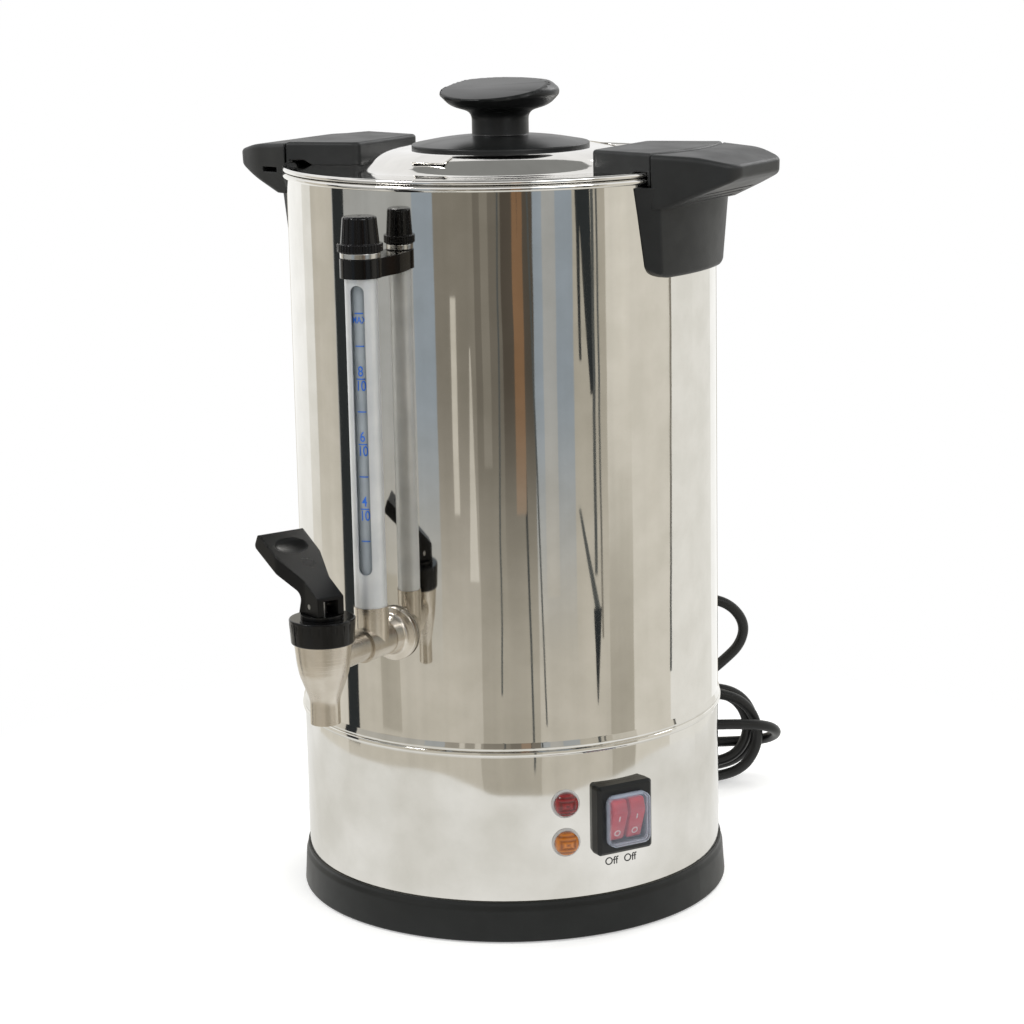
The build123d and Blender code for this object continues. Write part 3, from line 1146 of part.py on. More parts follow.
def thermostat(x, y):
    """Disc thermostat under the heat plate with two tabs."""
    top = plate_top() - PLATE_T
    tab_w, tab_t, tab_l = TAB_SIZE
    body = rod(THERMOSTAT_R, top - THERMOSTAT_H, top, x, y)
    for side in (-TAB_SPREAD, TAB_SPREAD):
        body += Pos(x + side, y, top - THERMOSTAT_H - tab_l / 2 + TAB_SINK) * Box(tab_t, tab_w, tab_l)
    return body


def dry_boil_cutout():
    """Cut-out with its post on the bottom cover, with a guide for the reset button."""
    x, y = CUTOUT_AT
    body = rod(CUTOUT_R, CUTOUT_Z, CUTOUT_Z + CUTOUT_H, x, y)
    post = rod(CUTOUT_R, FEET_OUT + COVER_T, CUTOUT_Z, x, y) - rod(CUTOUT_R - 2, 0, CUTOUT_Z, x, y)
    cavity = rod(RESET_R + LOOSE_FIT, 0, CUTOUT_Z + RESET_TRAVEL + LOOSE_FIT, x, y)
    tab_w, tab_t, tab_l = TAB_SIZE
    for side in (-TAB_SPREAD, TAB_SPREAD):
        body += Pos(x + side, y, CUTOUT_Z + CUTOUT_H + tab_l / 2 - TAB_SINK) * Box(tab_t, tab_w, tab_l)
    return body + post - cavity


def reset_button():
    """Red button of the cut-out, which is pushed up through the bottom cover."""
    x, y = CUTOUT_AT
    button = rod(RESET_R, FEET_OUT + RESET_TRAVEL / 3, CUTOUT_Z, x, y)
    return fillet(button.edges().group_by(Axis.Z)[0], RESET_R / 5)


def terminal_block():
    """Moulded terminal block on two posts, with screw wells."""
    length, depth, height = TERMINAL_SIZE
    x, y = TERMINAL_AT
    low = FEET_OUT + COVER_T + TERMINAL_LIFT
    body = Pos(x, y, low + height / 2) * Box(length, depth, height)
    for index in range(4):
        well = x + (index - 1.5) * length / 4
        for row in (-depth / 4, depth / 4):
            body -= rod(TERMINAL_WELL_R, low + height / 2, low + height + CUT, well, y + row)
    for side in (-1, 1):
        body += rod(TERMINAL_POST_R, FEET_OUT + COVER_T, low + CUT, x + side * length / 3, y)
    return body


def earth_stud():
    """Earth stud with its washer and nut on the bottom cover."""
    x, y = EARTH_AT
    base = FEET_OUT + COVER_T
    washer_r, washer_t = EARTH_WASHER
    nut_r, nut_h = EARTH_NUT
    nut = Pos(x, y, base + washer_t) * extrude(RegularPolygon(nut_r, 6, major_radius=False), nut_h)
    return rod(EARTH_R, base, base + EARTH_L, x, y) + rod(washer_r, base, base + washer_t, x, y) + nut


def wire(points):
    """Round wire along straight runs with rounded corners."""
    path = FilletPolyline(*points, radius=WIRE_BEND)
    return sweep(Plane(path @ 0, z_dir=path % 0) * Circle(WIRE_R), path=path)


def wiring_loom():
    """Wires from the terminal block to the switch, the lamps and the earth stud."""
    length, depth, height = TERMINAL_SIZE
    x, y = TERMINAL_AT
    top = FEET_OUT + COVER_T + TERMINAL_LIFT + height
    def inside(angle, rho, z):
        return (rho * sin(radians(angle)), -rho * cos(radians(angle)), z)
    start = [(x + (index - 1.5) * length / 4, y - depth / 4, top - height / 2) for index in range(4)]
    rise = top + WIRE_RISE
    tab_back = TAB_SIZE[2] + WIRE_R
    switch_back = TANK_R - 2 * SHEET - SWITCH_BODY[2] - tab_back
    lamp_back = TANK_R - LAMP_BODY_L - tab_back
    ends = [
        inside(SWITCH_ANGLE, switch_back, SWITCH_Z), inside(LAMP_ANGLE, lamp_back, LAMP_Z["warm"]),
        inside(LAMP_ANGLE, lamp_back - WIRE_ROW, LAMP_Z["boil"]),
    ]
    wires = []
    for layer, (begin, end) in enumerate(zip(start[1:], ends)):
        level = rise + WIRE_LAYER * layer
        high = (begin[0], begin[1], level)
        over = (end[0] * 0.55, WIRE_ROW_Y - WIRE_ROW * layer, level)
        wires.append(wire([begin, high, over, (end[0] * 0.8, end[1] * 0.8, end[2]), end]))
    earth_x, earth_y = EARTH_AT
    earth_side = earth_y - WIRE_ROW_Y
    begin = start[0]
    wires.append(wire([
        begin, (begin[0], begin[1], rise), (earth_x, earth_side, rise), (earth_x, earth_side, EARTH_L),
    ]))
    return Compound(wires)


# --- supply cord ------------------------------------------------------------------------------------
def cord_gland():
    """Strain relief: a nut inside, a flange on the wall and a tapered boot."""
    front = TANK_R + GLAND_FLANGE_T
    boot_l = GLAND_L - GLAND_FLANGE_T
    flange = radial_rod(GLAND_FLANGE_R, TANK_R - 2 * SHEET, front, CORD_Z)
    boot = Pos(0, -front, CORD_Z) * Rot(90, 0, 0) * Pos(0, 0, boot_l / 2) * Cone(GLAND_R, GLAND_TIP_R, boot_l)
    outside = seated(flange + boot, TANK_R)
    nut_back, nut_front = GLAND_NUT
    neck = radial_rod(GLAND_R, TANK_IN - nut_back - CUT, TANK_R + CUT, CORD_Z)
    nut = radial_rod(GLAND_FLANGE_R, TANK_IN - nut_back, TANK_IN - nut_front, CORD_Z)
    return turned(outside + neck + nut, CORD_ANGLE)


def hank_point(along, behind, up):
    """Point of the hank's frame in the part's frame."""
    turn = radians(HANK_TURN)
    return Vector(along * cos(turn) - behind * sin(turn), along * sin(turn) + behind * cos(turn), up)


def corner_radii(points):
    """Arc radius at each inner point: a share of the shorter run over the tangent of half the turn."""
    radii = []
    for before, here, after in zip(points, points[1:], points[2:]):
        turn = radians((here - before).get_angle(after - here))
        shorter = min((here - before).length, (after - here).length)
        radii.append(ARC_SHARE * shorter / tan(turn / 2))
    return radii


def cord_tube(points, name):
    """Round cord along straight runs joined by tangent arcs; prints its bends and its length."""
    radii = corner_radii(points)
    path = FilletPolyline(*points, radius=radii)
    tube = sweep(Plane(path @ 0, z_dir=path % 0) * Circle(CORD_D / 2), path=path)
    length = sum(edge.length for edge in path.edges())
    section = pi * CORD_D ** 2 / 4
    print(name, "length", round(length, 1), "volume ratio", round(tube.volume / section / length, 4),
          "radii", [round(radius, 1) for radius in radii])
    return tube


def cord_lead():
    """Lead from the strain relief, up in a loop and down to the hank."""
    exit_rho = TANK_R + GLAND_L
    turn = radians(CORD_ANGLE)
    outward = Vector(sin(turn), -cos(turn), 0)
    start = outward * exit_rho + Vector(0, 0, CORD_Z)
    points = [start, start + outward * LEAD_EXIT]
    points += [hank_point(along, TANK_R + behind, up) for along, behind, up in LEAD_WAY]
    return cord_tube(points, "cord_lead")


def cord_hank():
    """Outer shape of the hank: an upright ring of long turns and one loose turn round it."""
    front, back = HANK_DEPTH
    outer = HANK_BEND_R + CORD_D / 2
    length = HANK_RUN + 2 * outer
    ring = SlotOverall(length, 2 * outer) - SlotOverall(length - 2 * HANK_RING, 2 * (outer - HANK_RING))
    middle = HANK_RIGHT - HANK_RUN / 2
    body = Pos(middle, back, outer + LOOSE_FIT) * Rot(90, 0, 0) * extrude(ring, back - front)
    wrap_front, wrap_back = WRAP_FRONT, WRAP_BACK
    reach = sqrt((wrap_back[0] - wrap_front[0]) ** 2 + (wrap_back[1] - wrap_front[1]) ** 2) / 2
    tilt = degrees(atan2(wrap_back[1] - wrap_front[1], wrap_back[0] - wrap_front[0]))
    path = SlotOverall(WRAP_RIGHT - WRAP_LEFT + 2 * reach, 2 * reach).wire()
    depth, height = [(near + far) / 2 for near, far in zip(wrap_front, wrap_back)]
    path = Pos((WRAP_RIGHT + WRAP_LEFT) / 2, depth, height) * Rot(tilt, 0, 0) * path
    wrap = sweep(Plane(path @ 0, z_dir=path % 0) * Circle(CORD_D / 2), path=path)
    return Rot(0, 0, HANK_TURN) * (body + wrap)


def cord_tail():
    """Tail from the loose turn to the plug."""
    points = [hank_point(along, TANK_R + behind, up) for along, behind, up in TAIL_WAY]
    return cord_tube(points + [hank_point(*PLUG_AT)], "cord_tail")


def plug_frame():
    """Frame at the boot's end with +Z along the plug, lying level behind the tank."""
    return Plane(origin=hank_point(*PLUG_AT), z_dir=hank_point(-1, 0, 0), x_dir=(0, 0, 1))


def plug_body():
    """Moulded round plug with a boot."""
    nose = PLUG_BOOT_L
    shoulder = nose + PLUG_NOSE_L
    section = outline([
        (0, 0), (GLAND_TIP_R, 0), (PLUG_BOOT_R, nose), (PLUG_R, shoulder, 4),
        (PLUG_R, shoulder + PLUG_L, 1.5), (0, shoulder + PLUG_L),
    ])
    return plug_frame() * revolve(Plane.XZ * section, Axis.Z)


def plug_pins():
    """Two round pins."""
    base = PLUG_BOOT_L + PLUG_NOSE_L + PLUG_L
    pins = []
    for side in (-PLUG_PIN_PITCH / 2, PLUG_PIN_PITCH / 2):
        pin = Pos(0, side, base + PLUG_PIN_L / 2) * Cylinder(PLUG_PIN_R, PLUG_PIN_L)
        pins.append(plug_frame() * fillet(pin.edges().group_by(Axis.Z)[-1], PLUG_PIN_R / 2))
    return Compound(pins)


# --- all nodes ----------------------------------------------------------------------------------------
NODES = {
    "tank_shell": tank_shell,
    "tank_floor": tank_floor,
    "lower_housing": lower_housing,
    "base_skirt": base_skirt,
    "bottom_cover": bottom_cover,
    "rubber_feet": rubber_feet,
    "bottom_screws": bottom_screws,
    "heat_plate": heat_plate,
    "boil_element": lambda: element(BOIL_RING_R, BOIL_TUBE_R),
    "warm_element": lambda: element(WARM_RING_R, WARM_TUBE_R),
    "element_clamp": element_clamp,
    "boil_thermostat": lambda: thermostat(0.0, THERMOSTAT_Y),
    "warm_thermostat": lambda: thermostat(0.0, -THERMOSTAT_Y),
    "dry_boil_cutout": dry_boil_cutout,
    "reset_button": reset_button,
    "terminal_block": terminal_block,
    "earth_stud": earth_stud,
    "wiring_loom": wiring_loom,
    "switch_frame": lambda: turned(switch_frame(), SWITCH_ANGLE),
    "switch_body": lambda: turned(switch_body(), SWITCH_ANGLE),
    "switch_cover": lambda: turned(switch_cover(), SWITCH_ANGLE),
    "rocker_boil": lambda: turned(rocker(-ROCKER_PITCH / 2), SWITCH_ANGLE),
    "rocker_warm": lambda: turned(rocker(ROCKER_PITCH / 2), SWITCH_ANGLE),
    "lamp_lens_boil": lambda: lamp_lens(LAMP_Z["boil"]),
    "lamp_lens_warm": lambda: lamp_lens(LAMP_Z["warm"]),
    "lamp_bodies": lamp_bodies,
    "cord_gland": cord_gland,
    "cord_lead": cord_lead,
    "cord_hank": cord_hank,
    "cord_tail": cord_tail,
    "plug_body": plug_body,
    "plug_pins": plug_pins,
    "handle_right": lambda: handle(HANDLE_ANGLES["right"]),
    "handle_left": lambda: handle(HANDLE_ANGLES["left"]),
    "handle_screws": handle_screws,
    "tap_body": tap_body,
    "tap_collar": tap_collar,
    "tap_flange": tap_flange,
    "tap_seals": tap_seals,
    "tap_lock_nut": tap_lock_nut,
    "valve_stem": valve_stem,
    "valve_cup": valve_cup,
    "valve_spring": valve_spring,
    "lever_saddle": lever_saddle,
    "lever": lever,
    "lever_pin": lever_pin,
    "gauge_tee": gauge_tee,
    "gauge_guard": gauge_guard,
    "gauge_glass": gauge_glass,
    "gauge_seals": gauge_seals,
    "gauge_bracket": gauge_bracket,
    "gauge_ferrule": gauge_ferrule,
    "gauge_cap": gauge_cap,
    "lid_dish": lid_dish,
    "lid_lug_right": lambda: lid_lug(HANDLE_ANGLES["right"]),
    "lid_lug_left": lambda: lid_lug(HANDLE_ANGLES["left"]),
    "lid_screws": lid_screws,
    "lid_knob": lid_knob,
    "lid_seal": lid_seal,
}

os.makedirs("parts", exist_ok=True)
for node, make in NODES.items():
    export_step(make(), f"parts/{node}.step")
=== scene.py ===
"""Looks of a hot water urn round its CAD model: finishes, supply cord, printed marks, light and camera."""

from __future__ import annotations

import logging
import math
from dataclasses import dataclass
from enum import Enum

import bmesh
import bpy
from mathutils import Matrix, Vector


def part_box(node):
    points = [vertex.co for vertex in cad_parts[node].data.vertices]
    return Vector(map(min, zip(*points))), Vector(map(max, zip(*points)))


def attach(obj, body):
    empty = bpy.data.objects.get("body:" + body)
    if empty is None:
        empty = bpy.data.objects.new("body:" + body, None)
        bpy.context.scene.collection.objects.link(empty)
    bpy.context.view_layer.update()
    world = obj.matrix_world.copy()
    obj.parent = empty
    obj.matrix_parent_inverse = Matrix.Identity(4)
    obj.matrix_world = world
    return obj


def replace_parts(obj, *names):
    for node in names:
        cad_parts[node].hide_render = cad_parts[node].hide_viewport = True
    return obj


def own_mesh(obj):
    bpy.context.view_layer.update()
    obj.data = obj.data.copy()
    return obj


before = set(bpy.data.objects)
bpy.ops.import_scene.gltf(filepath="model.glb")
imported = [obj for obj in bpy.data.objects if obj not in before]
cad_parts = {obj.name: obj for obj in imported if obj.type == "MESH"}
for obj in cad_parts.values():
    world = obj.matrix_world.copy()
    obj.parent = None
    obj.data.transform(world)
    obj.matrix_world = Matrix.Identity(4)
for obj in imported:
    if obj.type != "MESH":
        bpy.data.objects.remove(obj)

LOG = logging.getLogger("urn")
MM = 0.001
ROOT_BODY = "urn"
CAMERA_AZIMUTH = 31.5

Tree = bpy.types.NodeTree
Socket = bpy.types.NodeSocket
Pair = tuple[float, float]
Triple = tuple[float, float, float]

# Sockets of the Mix node, which go by number because their names repeat for each kind of data.
MIX_SHARE = 0
MIX_FLOAT_A = 2
MIX_FLOAT_B = 3
MIX_COLOUR_A = 6
MIX_COLOUR_B = 7
MIX_COLOUR_OUT = 2

# --- sizes shared with the CAD model: millimetres, and degrees from the tap's side -----------------
TANK_R = 112.5
GAUGE_RHO = 133.0
TAP_RHO = 175.5
SWITCH_ANGLE = 60.6
SWITCH_Z = 62.6
LAMP_ANGLE = 45.0
HANK_TURN = 31.5
CORD_D = 6.2
KNOB_FACET_TILT = 11.5


# --- small helpers ---------------------------------------------------------------------------------
def linear(hex_code: str) -> tuple[float, float, float, float]:
    """Turns an sRGB hex colour to the linear colour of a shader socket.

    Args:
        hex_code: colour as "#RRGGBB".

    Returns:
        Linear red, green and blue, and an alpha of 1.
    """
    values = [int(hex_code[i:i + 2], 16) / 255 for i in (1, 3, 5)]
    red, green, blue = [v / 12.92 if v <= 0.04045 else ((v + 0.055) / 1.055) ** 2.4 for v in values]
    return red, green, blue, 1.0


def add_node(tree: Tree, kind: str, inputs: dict[int | str, object] | None = None,
             **settings: object) -> bpy.types.Node:
    """Adds a node, sets its properties, and fills or links its inputs.

    Args:
        tree: node tree that gets the node.
        kind: Blender's name of the node type.
        inputs: input name or index, and a value or the output socket to link.
        settings: properties of the node.

    Returns:
        The new node.
    """
    node = tree.nodes.new(kind)
    for name, value in settings.items():
        setattr(node, name, value)
    for key, value in (inputs or {}).items():
        if isinstance(value, Socket):
            tree.links.new(value, node.inputs[key])
        else:
            node.inputs[key].default_value = value
    return node


def new_tree(name: str) -> tuple[bpy.types.Material, Tree]:
    """Makes an empty node material.

    Args:
        name: name of the material.

    Returns:
        The material and its empty node tree.
    """
    material = bpy.data.materials.new(name)
    material.use_nodes = True
    material.node_tree.nodes.clear()
    return material, material.node_tree


def turned(angle: float) -> Matrix:
    """Turn about the urn's axis, away from the tap's side, by an angle in degrees."""
    return Matrix.Rotation(math.radians(angle), 4, "Z")


def place_mm(x: float, y: float, z: float) -> Matrix:
    """Move by millimetres."""
    return Matrix.Translation(Vector((x, y, z)) * MM)


def put_in_scene(name: str, data: bpy.types.ID) -> bpy.types.Object:
    """Makes an object and links it to the scene.

    Args:
        name: name of the object.
        data: its mesh, curve, lamp or camera.

    Returns:
        The new object.
    """
    item = bpy.data.objects.new(name, data)
    bpy.context.scene.collection.objects.link(item)
    return item


def add_piece(name: str, mesh: bpy.types.Mesh, finish: Finish, matrix: Matrix,
              body: str = ROOT_BODY) -> bpy.types.Object:
    """Puts a mesh in the scene as a piece that rides on a body.

    Args:
        name: name of the piece.
        mesh: its mesh, in metres.
        finish: its finish.
        matrix: where it is, at rest.
        body: CAD body that it rides on.

    Returns:
        The new object.
    """
    piece = put_in_scene(name, mesh)
    piece.matrix_world = matrix
    mesh.materials.clear()
    mesh.materials.append(finish.material())
    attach(piece, body)
    LOG.info("piece %s on %s", name, body)
    return piece


def lathe(name: str, profile: list[Pair], segments: int, smooth: float = 40.0) -> bpy.types.Mesh:
    """Turns a profile about the local Z axis.

    Args:
        name: name of the mesh.
        profile: (radius, height) points in millimetres; a radius of 0 closes on the axis.
        segments: steps round the axis.
        smooth: edges sharper than this angle, in degrees, stay sharp.

    Returns:
        The mesh, in metres.
    """
    bm = bmesh.new()
    rings = []
    angles = [2 * math.pi * i / segments for i in range(segments)]
    for radius, height in profile:
        if radius == 0:
            rings.append([bm.verts.new((0, 0, height * MM))])
            continue
        reach = radius * MM
        rings.append([bm.verts.new((reach * math.cos(a), reach * math.sin(a), height * MM)) for a in angles])
    for low, high in zip(rings, rings[1:]):
        for i in range(segments):
            places = ((low, i), (low, i + 1), (high, i + 1), (high, i))
            corners = [ring[index % len(ring)] for ring, index in places]
            corners = [corner for n, corner in enumerate(corners) if corner not in corners[:n]]
            if len(corners) > 2:
                bm.faces.new(corners)
    return finish_mesh(name, bm, smooth)


def finish_mesh(name: str, bm: bmesh.types.BMesh, smooth: float = 40.0) -> bpy.types.Mesh:
    """Closes a bmesh into a smooth-shaded mesh.

    Args:
        name: name of the mesh.
        bm: the bmesh, which is freed.
        smooth: edges sharper than this angle, in degrees, stay sharp.

    Returns:
        The mesh.
    """
    bmesh.ops.recalc_face_normals(bm, faces=bm.faces)
    mesh = bpy.data.meshes.new(name)
    bm.to_mesh(mesh)
    bm.free()
    mesh.shade_smooth()
    mesh.set_sharp_from_angle(angle=math.radians(smooth))
    return mesh


# --- finishes ----------------------------------------------------------------------------------------
class Pattern(Enum):
    """How a surface was made, which sets the relief that it shows."""

    MOULDED = "even grain of an eroded mould"
    POLISHED = "rolled sheet, mirror polished: long ripples and faint wiping marks"
    TURNED = "fine rings round an upright axis"
    BRUSHED = "fine lines along the height"
    PLAIN = "soft unevenness only"
    SQUARES = "concentric square prisms behind a clear dome"


# Size in millimetres of the soft clouds in colour and gloss, and the stretch of their noise that each uses.
CLOUD_SIZE = 18.0
COLOUR_CLOUD = (0.35, 0.65)
GLOSS_CLOUD = (0.3, 0.7)
COAT_ROUGHNESS = 0.03
# How see-through plastics turn solid towards their edges.
FACING_BLEND = 0.35
FACING_START = 0.12
# Cosines at which a face starts to count as the satin one, and fully does.
FACET_SPREAD = (0.992, 0.998)
BEVEL_SAMPLES = 6
# How far each pattern's grain is drawn out along X, Y and Z: below 1 is longer.
STRETCH = {
    Pattern.TURNED: (0.02, 0.02, 1.0), Pattern.BRUSHED: (1.0, 1.0, 0.03), Pattern.POLISHED: (0.25, 0.25, 1.0),
}


@dataclass(frozen=True)
class Finish:
    """A material: what the real one is, its colours and the relief of its surface.

    Colours are sRGB hex. Grain, relief, ripple and the radius of rounded edges are in millimetres. Oblong is
    how much longer than high the squares of a lens are.
    """

    name: str
    slot: str
    colour: str
    second: str
    pattern: Pattern
    metallic: float = 0.0
    roughness: float = 0.5
    spread: float = 0.05
    grain: float = 1.0
    relief: float = 0.02
    ripple: float = 0.0
    ripple_length: float = 80.0
    coat: float = 0.0
    alpha: float = 1.0
    edge_alpha: float = 1.0
    ior: float = 1.46
    glow: float = 0.0
    facet: Triple | None = None
    facet_roughness: float = 0.5
    edge: float = 0.0
    oblong: float = 1.7

    def material(self) -> bpy.types.Material:
        """The Blender material of this finish, made once."""
        return bpy.data.materials.get(self.name) or self.build()

    def build(self) -> bpy.types.Material:
        """Builds the node material.

        Returns:
            The material.
        """
        material, tree = new_tree(self.name)
        place = add_node(tree, "ShaderNodeTexCoord").outputs["Object"]
        cloud = add_node(tree, "ShaderNodeTexNoise", {
            "Vector": place, "Scale": 1 / (CLOUD_SIZE * MM), "Detail": 4.0})
        colour = add_node(tree, "ShaderNodeMix", {
            MIX_SHARE: self.blend_factor(tree, place, cloud),
            MIX_COLOUR_A: linear(self.colour), MIX_COLOUR_B: linear(self.second),
        }, data_type="RGBA")
        shine = add_node(tree, "ShaderNodeMapRange", {
            "Value": cloud.outputs["Fac"], "From Min": GLOSS_CLOUD[0], "From Max": GLOSS_CLOUD[1],
            "To Min": self.roughness - self.spread, "To Max": self.roughness + self.spread,
        })
        inputs = {
            "Base Color": colour.outputs[MIX_COLOUR_OUT],
            "Roughness": self.facet_mask(tree, shine.outputs["Result"]),
            "Metallic": self.metallic, "Coat Weight": self.coat, "Coat Roughness": COAT_ROUGHNESS,
            "Normal": self.relief_normal(tree, place),
        }
        if self.metallic < 1:
            inputs["IOR"] = self.ior
        if self.alpha < 1:
            weight = add_node(tree, "ShaderNodeLayerWeight", {"Blend": FACING_BLEND})
            inputs["Alpha"] = add_node(tree, "ShaderNodeMapRange", {
                "Value": weight.outputs["Facing"], "From Min": FACING_START,
                "To Min": self.alpha, "To Max": self.edge_alpha,
            }).outputs["Result"]
        # Glow is emission in the second colour: painted light in a surface that has no lamp inside.
        if self.glow:
            inputs["Emission Color"] = linear(self.second)
            inputs["Emission Strength"] = self.glow
        shader = add_node(tree, "ShaderNodeBsdfPrincipled", inputs)
        add_node(tree, "ShaderNodeOutputMaterial", {"Surface": shader.outputs["BSDF"]})
        return material

    def blend_factor(self, tree: Tree, place: Socket, cloud: bpy.types.Node) -> Socket:
        """Share of the second colour: clouds, or the square prisms of a signal lens.

        Args:
            tree: node tree of the material.
            place: object coordinates.
            cloud: slow noise.

        Returns:
            The socket with the share.
        """
        if self.pattern is not Pattern.SQUARES:
            return add_node(tree, "ShaderNodeMapRange", {
                "Value": cloud.outputs["Fac"], "From Min": COLOUR_CLOUD[0], "From Max": COLOUR_CLOUD[1],
            }).outputs["Result"]
        return self.squares(tree, place)

    def squares(self, tree: Tree, place: Socket) -> Socket:
        """Concentric oblongs round the local Z axis, from 0 to 1.

        Args:
            tree: node tree of the material.
            place: object coordinates.

        Returns:
            The socket with the wave.
        """
        parts = add_node(tree, "ShaderNodeSeparateXYZ", {0: place})
        across, along = (
            add_node(tree, "ShaderNodeMath", {0: parts.outputs[axis]}, operation="ABSOLUTE").outputs[0]
            for axis in "XY"
        )
        width = self.grain * MM
        steps = (("MULTIPLY", self.oblong), ("MAXIMUM", across), ("PINGPONG", width), ("MULTIPLY", 1 / width))
        for operation, value in steps:
            along = add_node(tree, "ShaderNodeMath", {0: along, 1: value}, operation=operation).outputs[0]
        return along

    def facet_mask(self, tree: Tree, shine: Socket) -> Socket:
        """Roughness with one flat face left satin, where the finish has such a face.

        Args:
            tree: node tree of the material.
            shine: roughness of the rest.

        Returns:
            The roughness socket.
        """
        if self.facet is None:
            return shine
        normal = add_node(tree, "ShaderNodeNewGeometry").outputs["Normal"]
        toward = add_node(tree, "ShaderNodeVectorMath", {0: normal, 1: self.facet}, operation="DOT_PRODUCT")
        flat = add_node(tree, "ShaderNodeMapRange", {
            "Value": toward.outputs["Value"], "From Min": FACET_SPREAD[0], "From Max": FACET_SPREAD[1]})
        return add_node(tree, "ShaderNodeMix", {
            MIX_SHARE: flat.outputs["Result"], MIX_FLOAT_A: shine, MIX_FLOAT_B: self.facet_roughness,
        }).outputs[0]

    def relief_normal(self, tree: Tree, place: Socket) -> Socket:
        """Bump of the fine grain, laid on the slow ripple of the sheet.

        Args:
            tree: node tree of the material.
            place: object coordinates.

        Returns:
            The normal socket.
        """
        if self.pattern is Pattern.SQUARES:
            height = self.squares(tree, place)
        else:
            stretch = STRETCH.get(self.pattern, (1.0, 1.0, 1.0))
            mapped = add_node(tree, "ShaderNodeMapping", {"Vector": place, "Scale": stretch})
            height = add_node(tree, "ShaderNodeTexNoise", {
                "Vector": mapped.outputs[0], "Scale": 1 / (self.grain * MM), "Detail": 3.0}).outputs["Fac"]
        inputs = {"Height": height, "Distance": self.relief * MM, "Strength": 1.0}
        if self.edge:
            inputs["Normal"] = add_node(tree, "ShaderNodeBevel", {"Radius": self.edge * MM},
                                        samples=BEVEL_SAMPLES).outputs["Normal"]
        if self.ripple:
            slow = add_node(tree, "ShaderNodeTexNoise", {
                "Vector": place, "Scale": 1 / (self.ripple_length * MM), "Detail": 1.5, "Roughness": 0.4})
            inputs["Normal"] = add_node(tree, "ShaderNodeBump", {
                "Height": slow.outputs["Fac"], "Distance": self.ripple * MM, "Strength": 1.0,
            }).outputs["Normal"]
        return add_node(tree, "ShaderNodeBump", inputs).outputs["Normal"]


# Stainless sheet, mirror polished after rolling: sharp reflections that waver with the sheet.
TANK_STEEL = Finish("stainless_mirror_polished", "polished_steel", "#E6E4E0", "#DEDCD7", Pattern.POLISHED,
                    metallic=1, roughness=0.05, spread=0.012, grain=1.5, relief=0.0012,
                    ripple=0.32, ripple_length=75)
# The same sheet, thinner and rolled to a skirt: its slow ripple draws reflections into soft clouds.
HOUSING_STEEL = Finish("stainless_mirror_polished_thin", "polished_steel", "#E8E6E2", "#E0DED9",
                       Pattern.POLISHED, metallic=1, roughness=0.06, spread=0.012, grain=1.5, relief=0.0012,
                       ripple=1.3, ripple_length=62)
# Pressed sheet, polished after pressing: bright, and a little softer than the tank.
LID_STEEL = Finish("stainless_pressed_polished", "polished_steel", "#E8E6E2", "#DEDCD8", Pattern.POLISHED,
                   metallic=1, roughness=0.07, spread=0.015, grain=1.5, relief=0.0015,
                   ripple=0.1, ripple_length=45)
# Stainless as rolled, for what isn't seen from outside: a soft grey sheen.
PLAIN_STEEL = Finish("stainless_2b_rolled", "plain_steel", "#C4C4C3", "#B4B4B2", Pattern.TURNED,
                     metallic=1, roughness=0.28, grain=0.8, relief=0.01)
# Zinc-plated screw steel: bluish grey with a dull shine.
SCREW_STEEL = Finish("steel_zinc_plated", "screw_steel", "#B4B6BA", "#9A9CA0", Pattern.TURNED,
                     metallic=1, roughness=0.3, grain=0.5, relief=0.01)
# Brass, turned and brushed, then nickel plated: warm grey with a soft streak of light along each turned part.
# The tool's rings are drawn at 0.45 mm, coarser than real, so that they show.
NICKEL = Finish("brass_brushed_nickel_plated", "nickel_brass", "#DDD6CB", "#CEC6BA", Pattern.TURNED,
                metallic=1, roughness=0.26, spread=0.03, grain=0.45, relief=0.05)
# Aluminium tube, bead blasted and anodised: pale, satin, with a sparkle that is drawn at 0.8 mm to show.
ANODISED = Finish("aluminium_blasted_anodised", "satin_aluminium", "#E4E6E7", "#D6D9DB", Pattern.MOULDED,
                  metallic=0.55, roughness=0.4, spread=0.04, grain=0.8, relief=0.06)
# Turned brass under bright nickel: a small ring with clear, neutral highlights.
FERRULE = Finish("brass_turned_bright_nickel", "nickel_brass", "#DEDDDA", "#CFCECB", Pattern.TURNED,
                 metallic=1, roughness=0.2, spread=0.03, grain=0.7, relief=0.004)
# ABS from an eroded mould: charcoal with a broad, quiet sheen. The grain, here and on the other black
# mouldings, is drawn at 1.2 mm so that it shows.
CHARCOAL = Finish("abs_charcoal_eroded_grain", "charcoal_plastic", "#292A2A", "#222323", Pattern.MOULDED,
                  roughness=0.44, spread=0.04, grain=1.2, relief=0.022, edge=1.0, ior=1.36)
# The same ABS in black, a little smoother: a soft band of light round the ring.
BASE_BLACK = Finish("abs_base_ring_eroded_grain", "charcoal_plastic", "#1E2020", "#191B1B", Pattern.MOULDED,
                    roughness=0.39, spread=0.04, grain=1.2, relief=0.015, edge=1.2, ior=1.36)
# Direction that the knob's sloping face looks in.
KNOB_FACING = (0.0, -math.sin(math.radians(KNOB_FACET_TILT)), math.cos(math.radians(KNOB_FACET_TILT)))
# Phenolic from a polished mould: black with a silky shine, and one sloping face that catches the light.
KNOB_BLACK = Finish("phenolic_knob_polished", "charcoal_plastic", "#191A1A", "#141515", Pattern.PLAIN,
                    roughness=0.34, spread=0.03, grain=4, relief=0.02, ior=1.36,
                    facet=KNOB_FACING, facet_roughness=0.28)
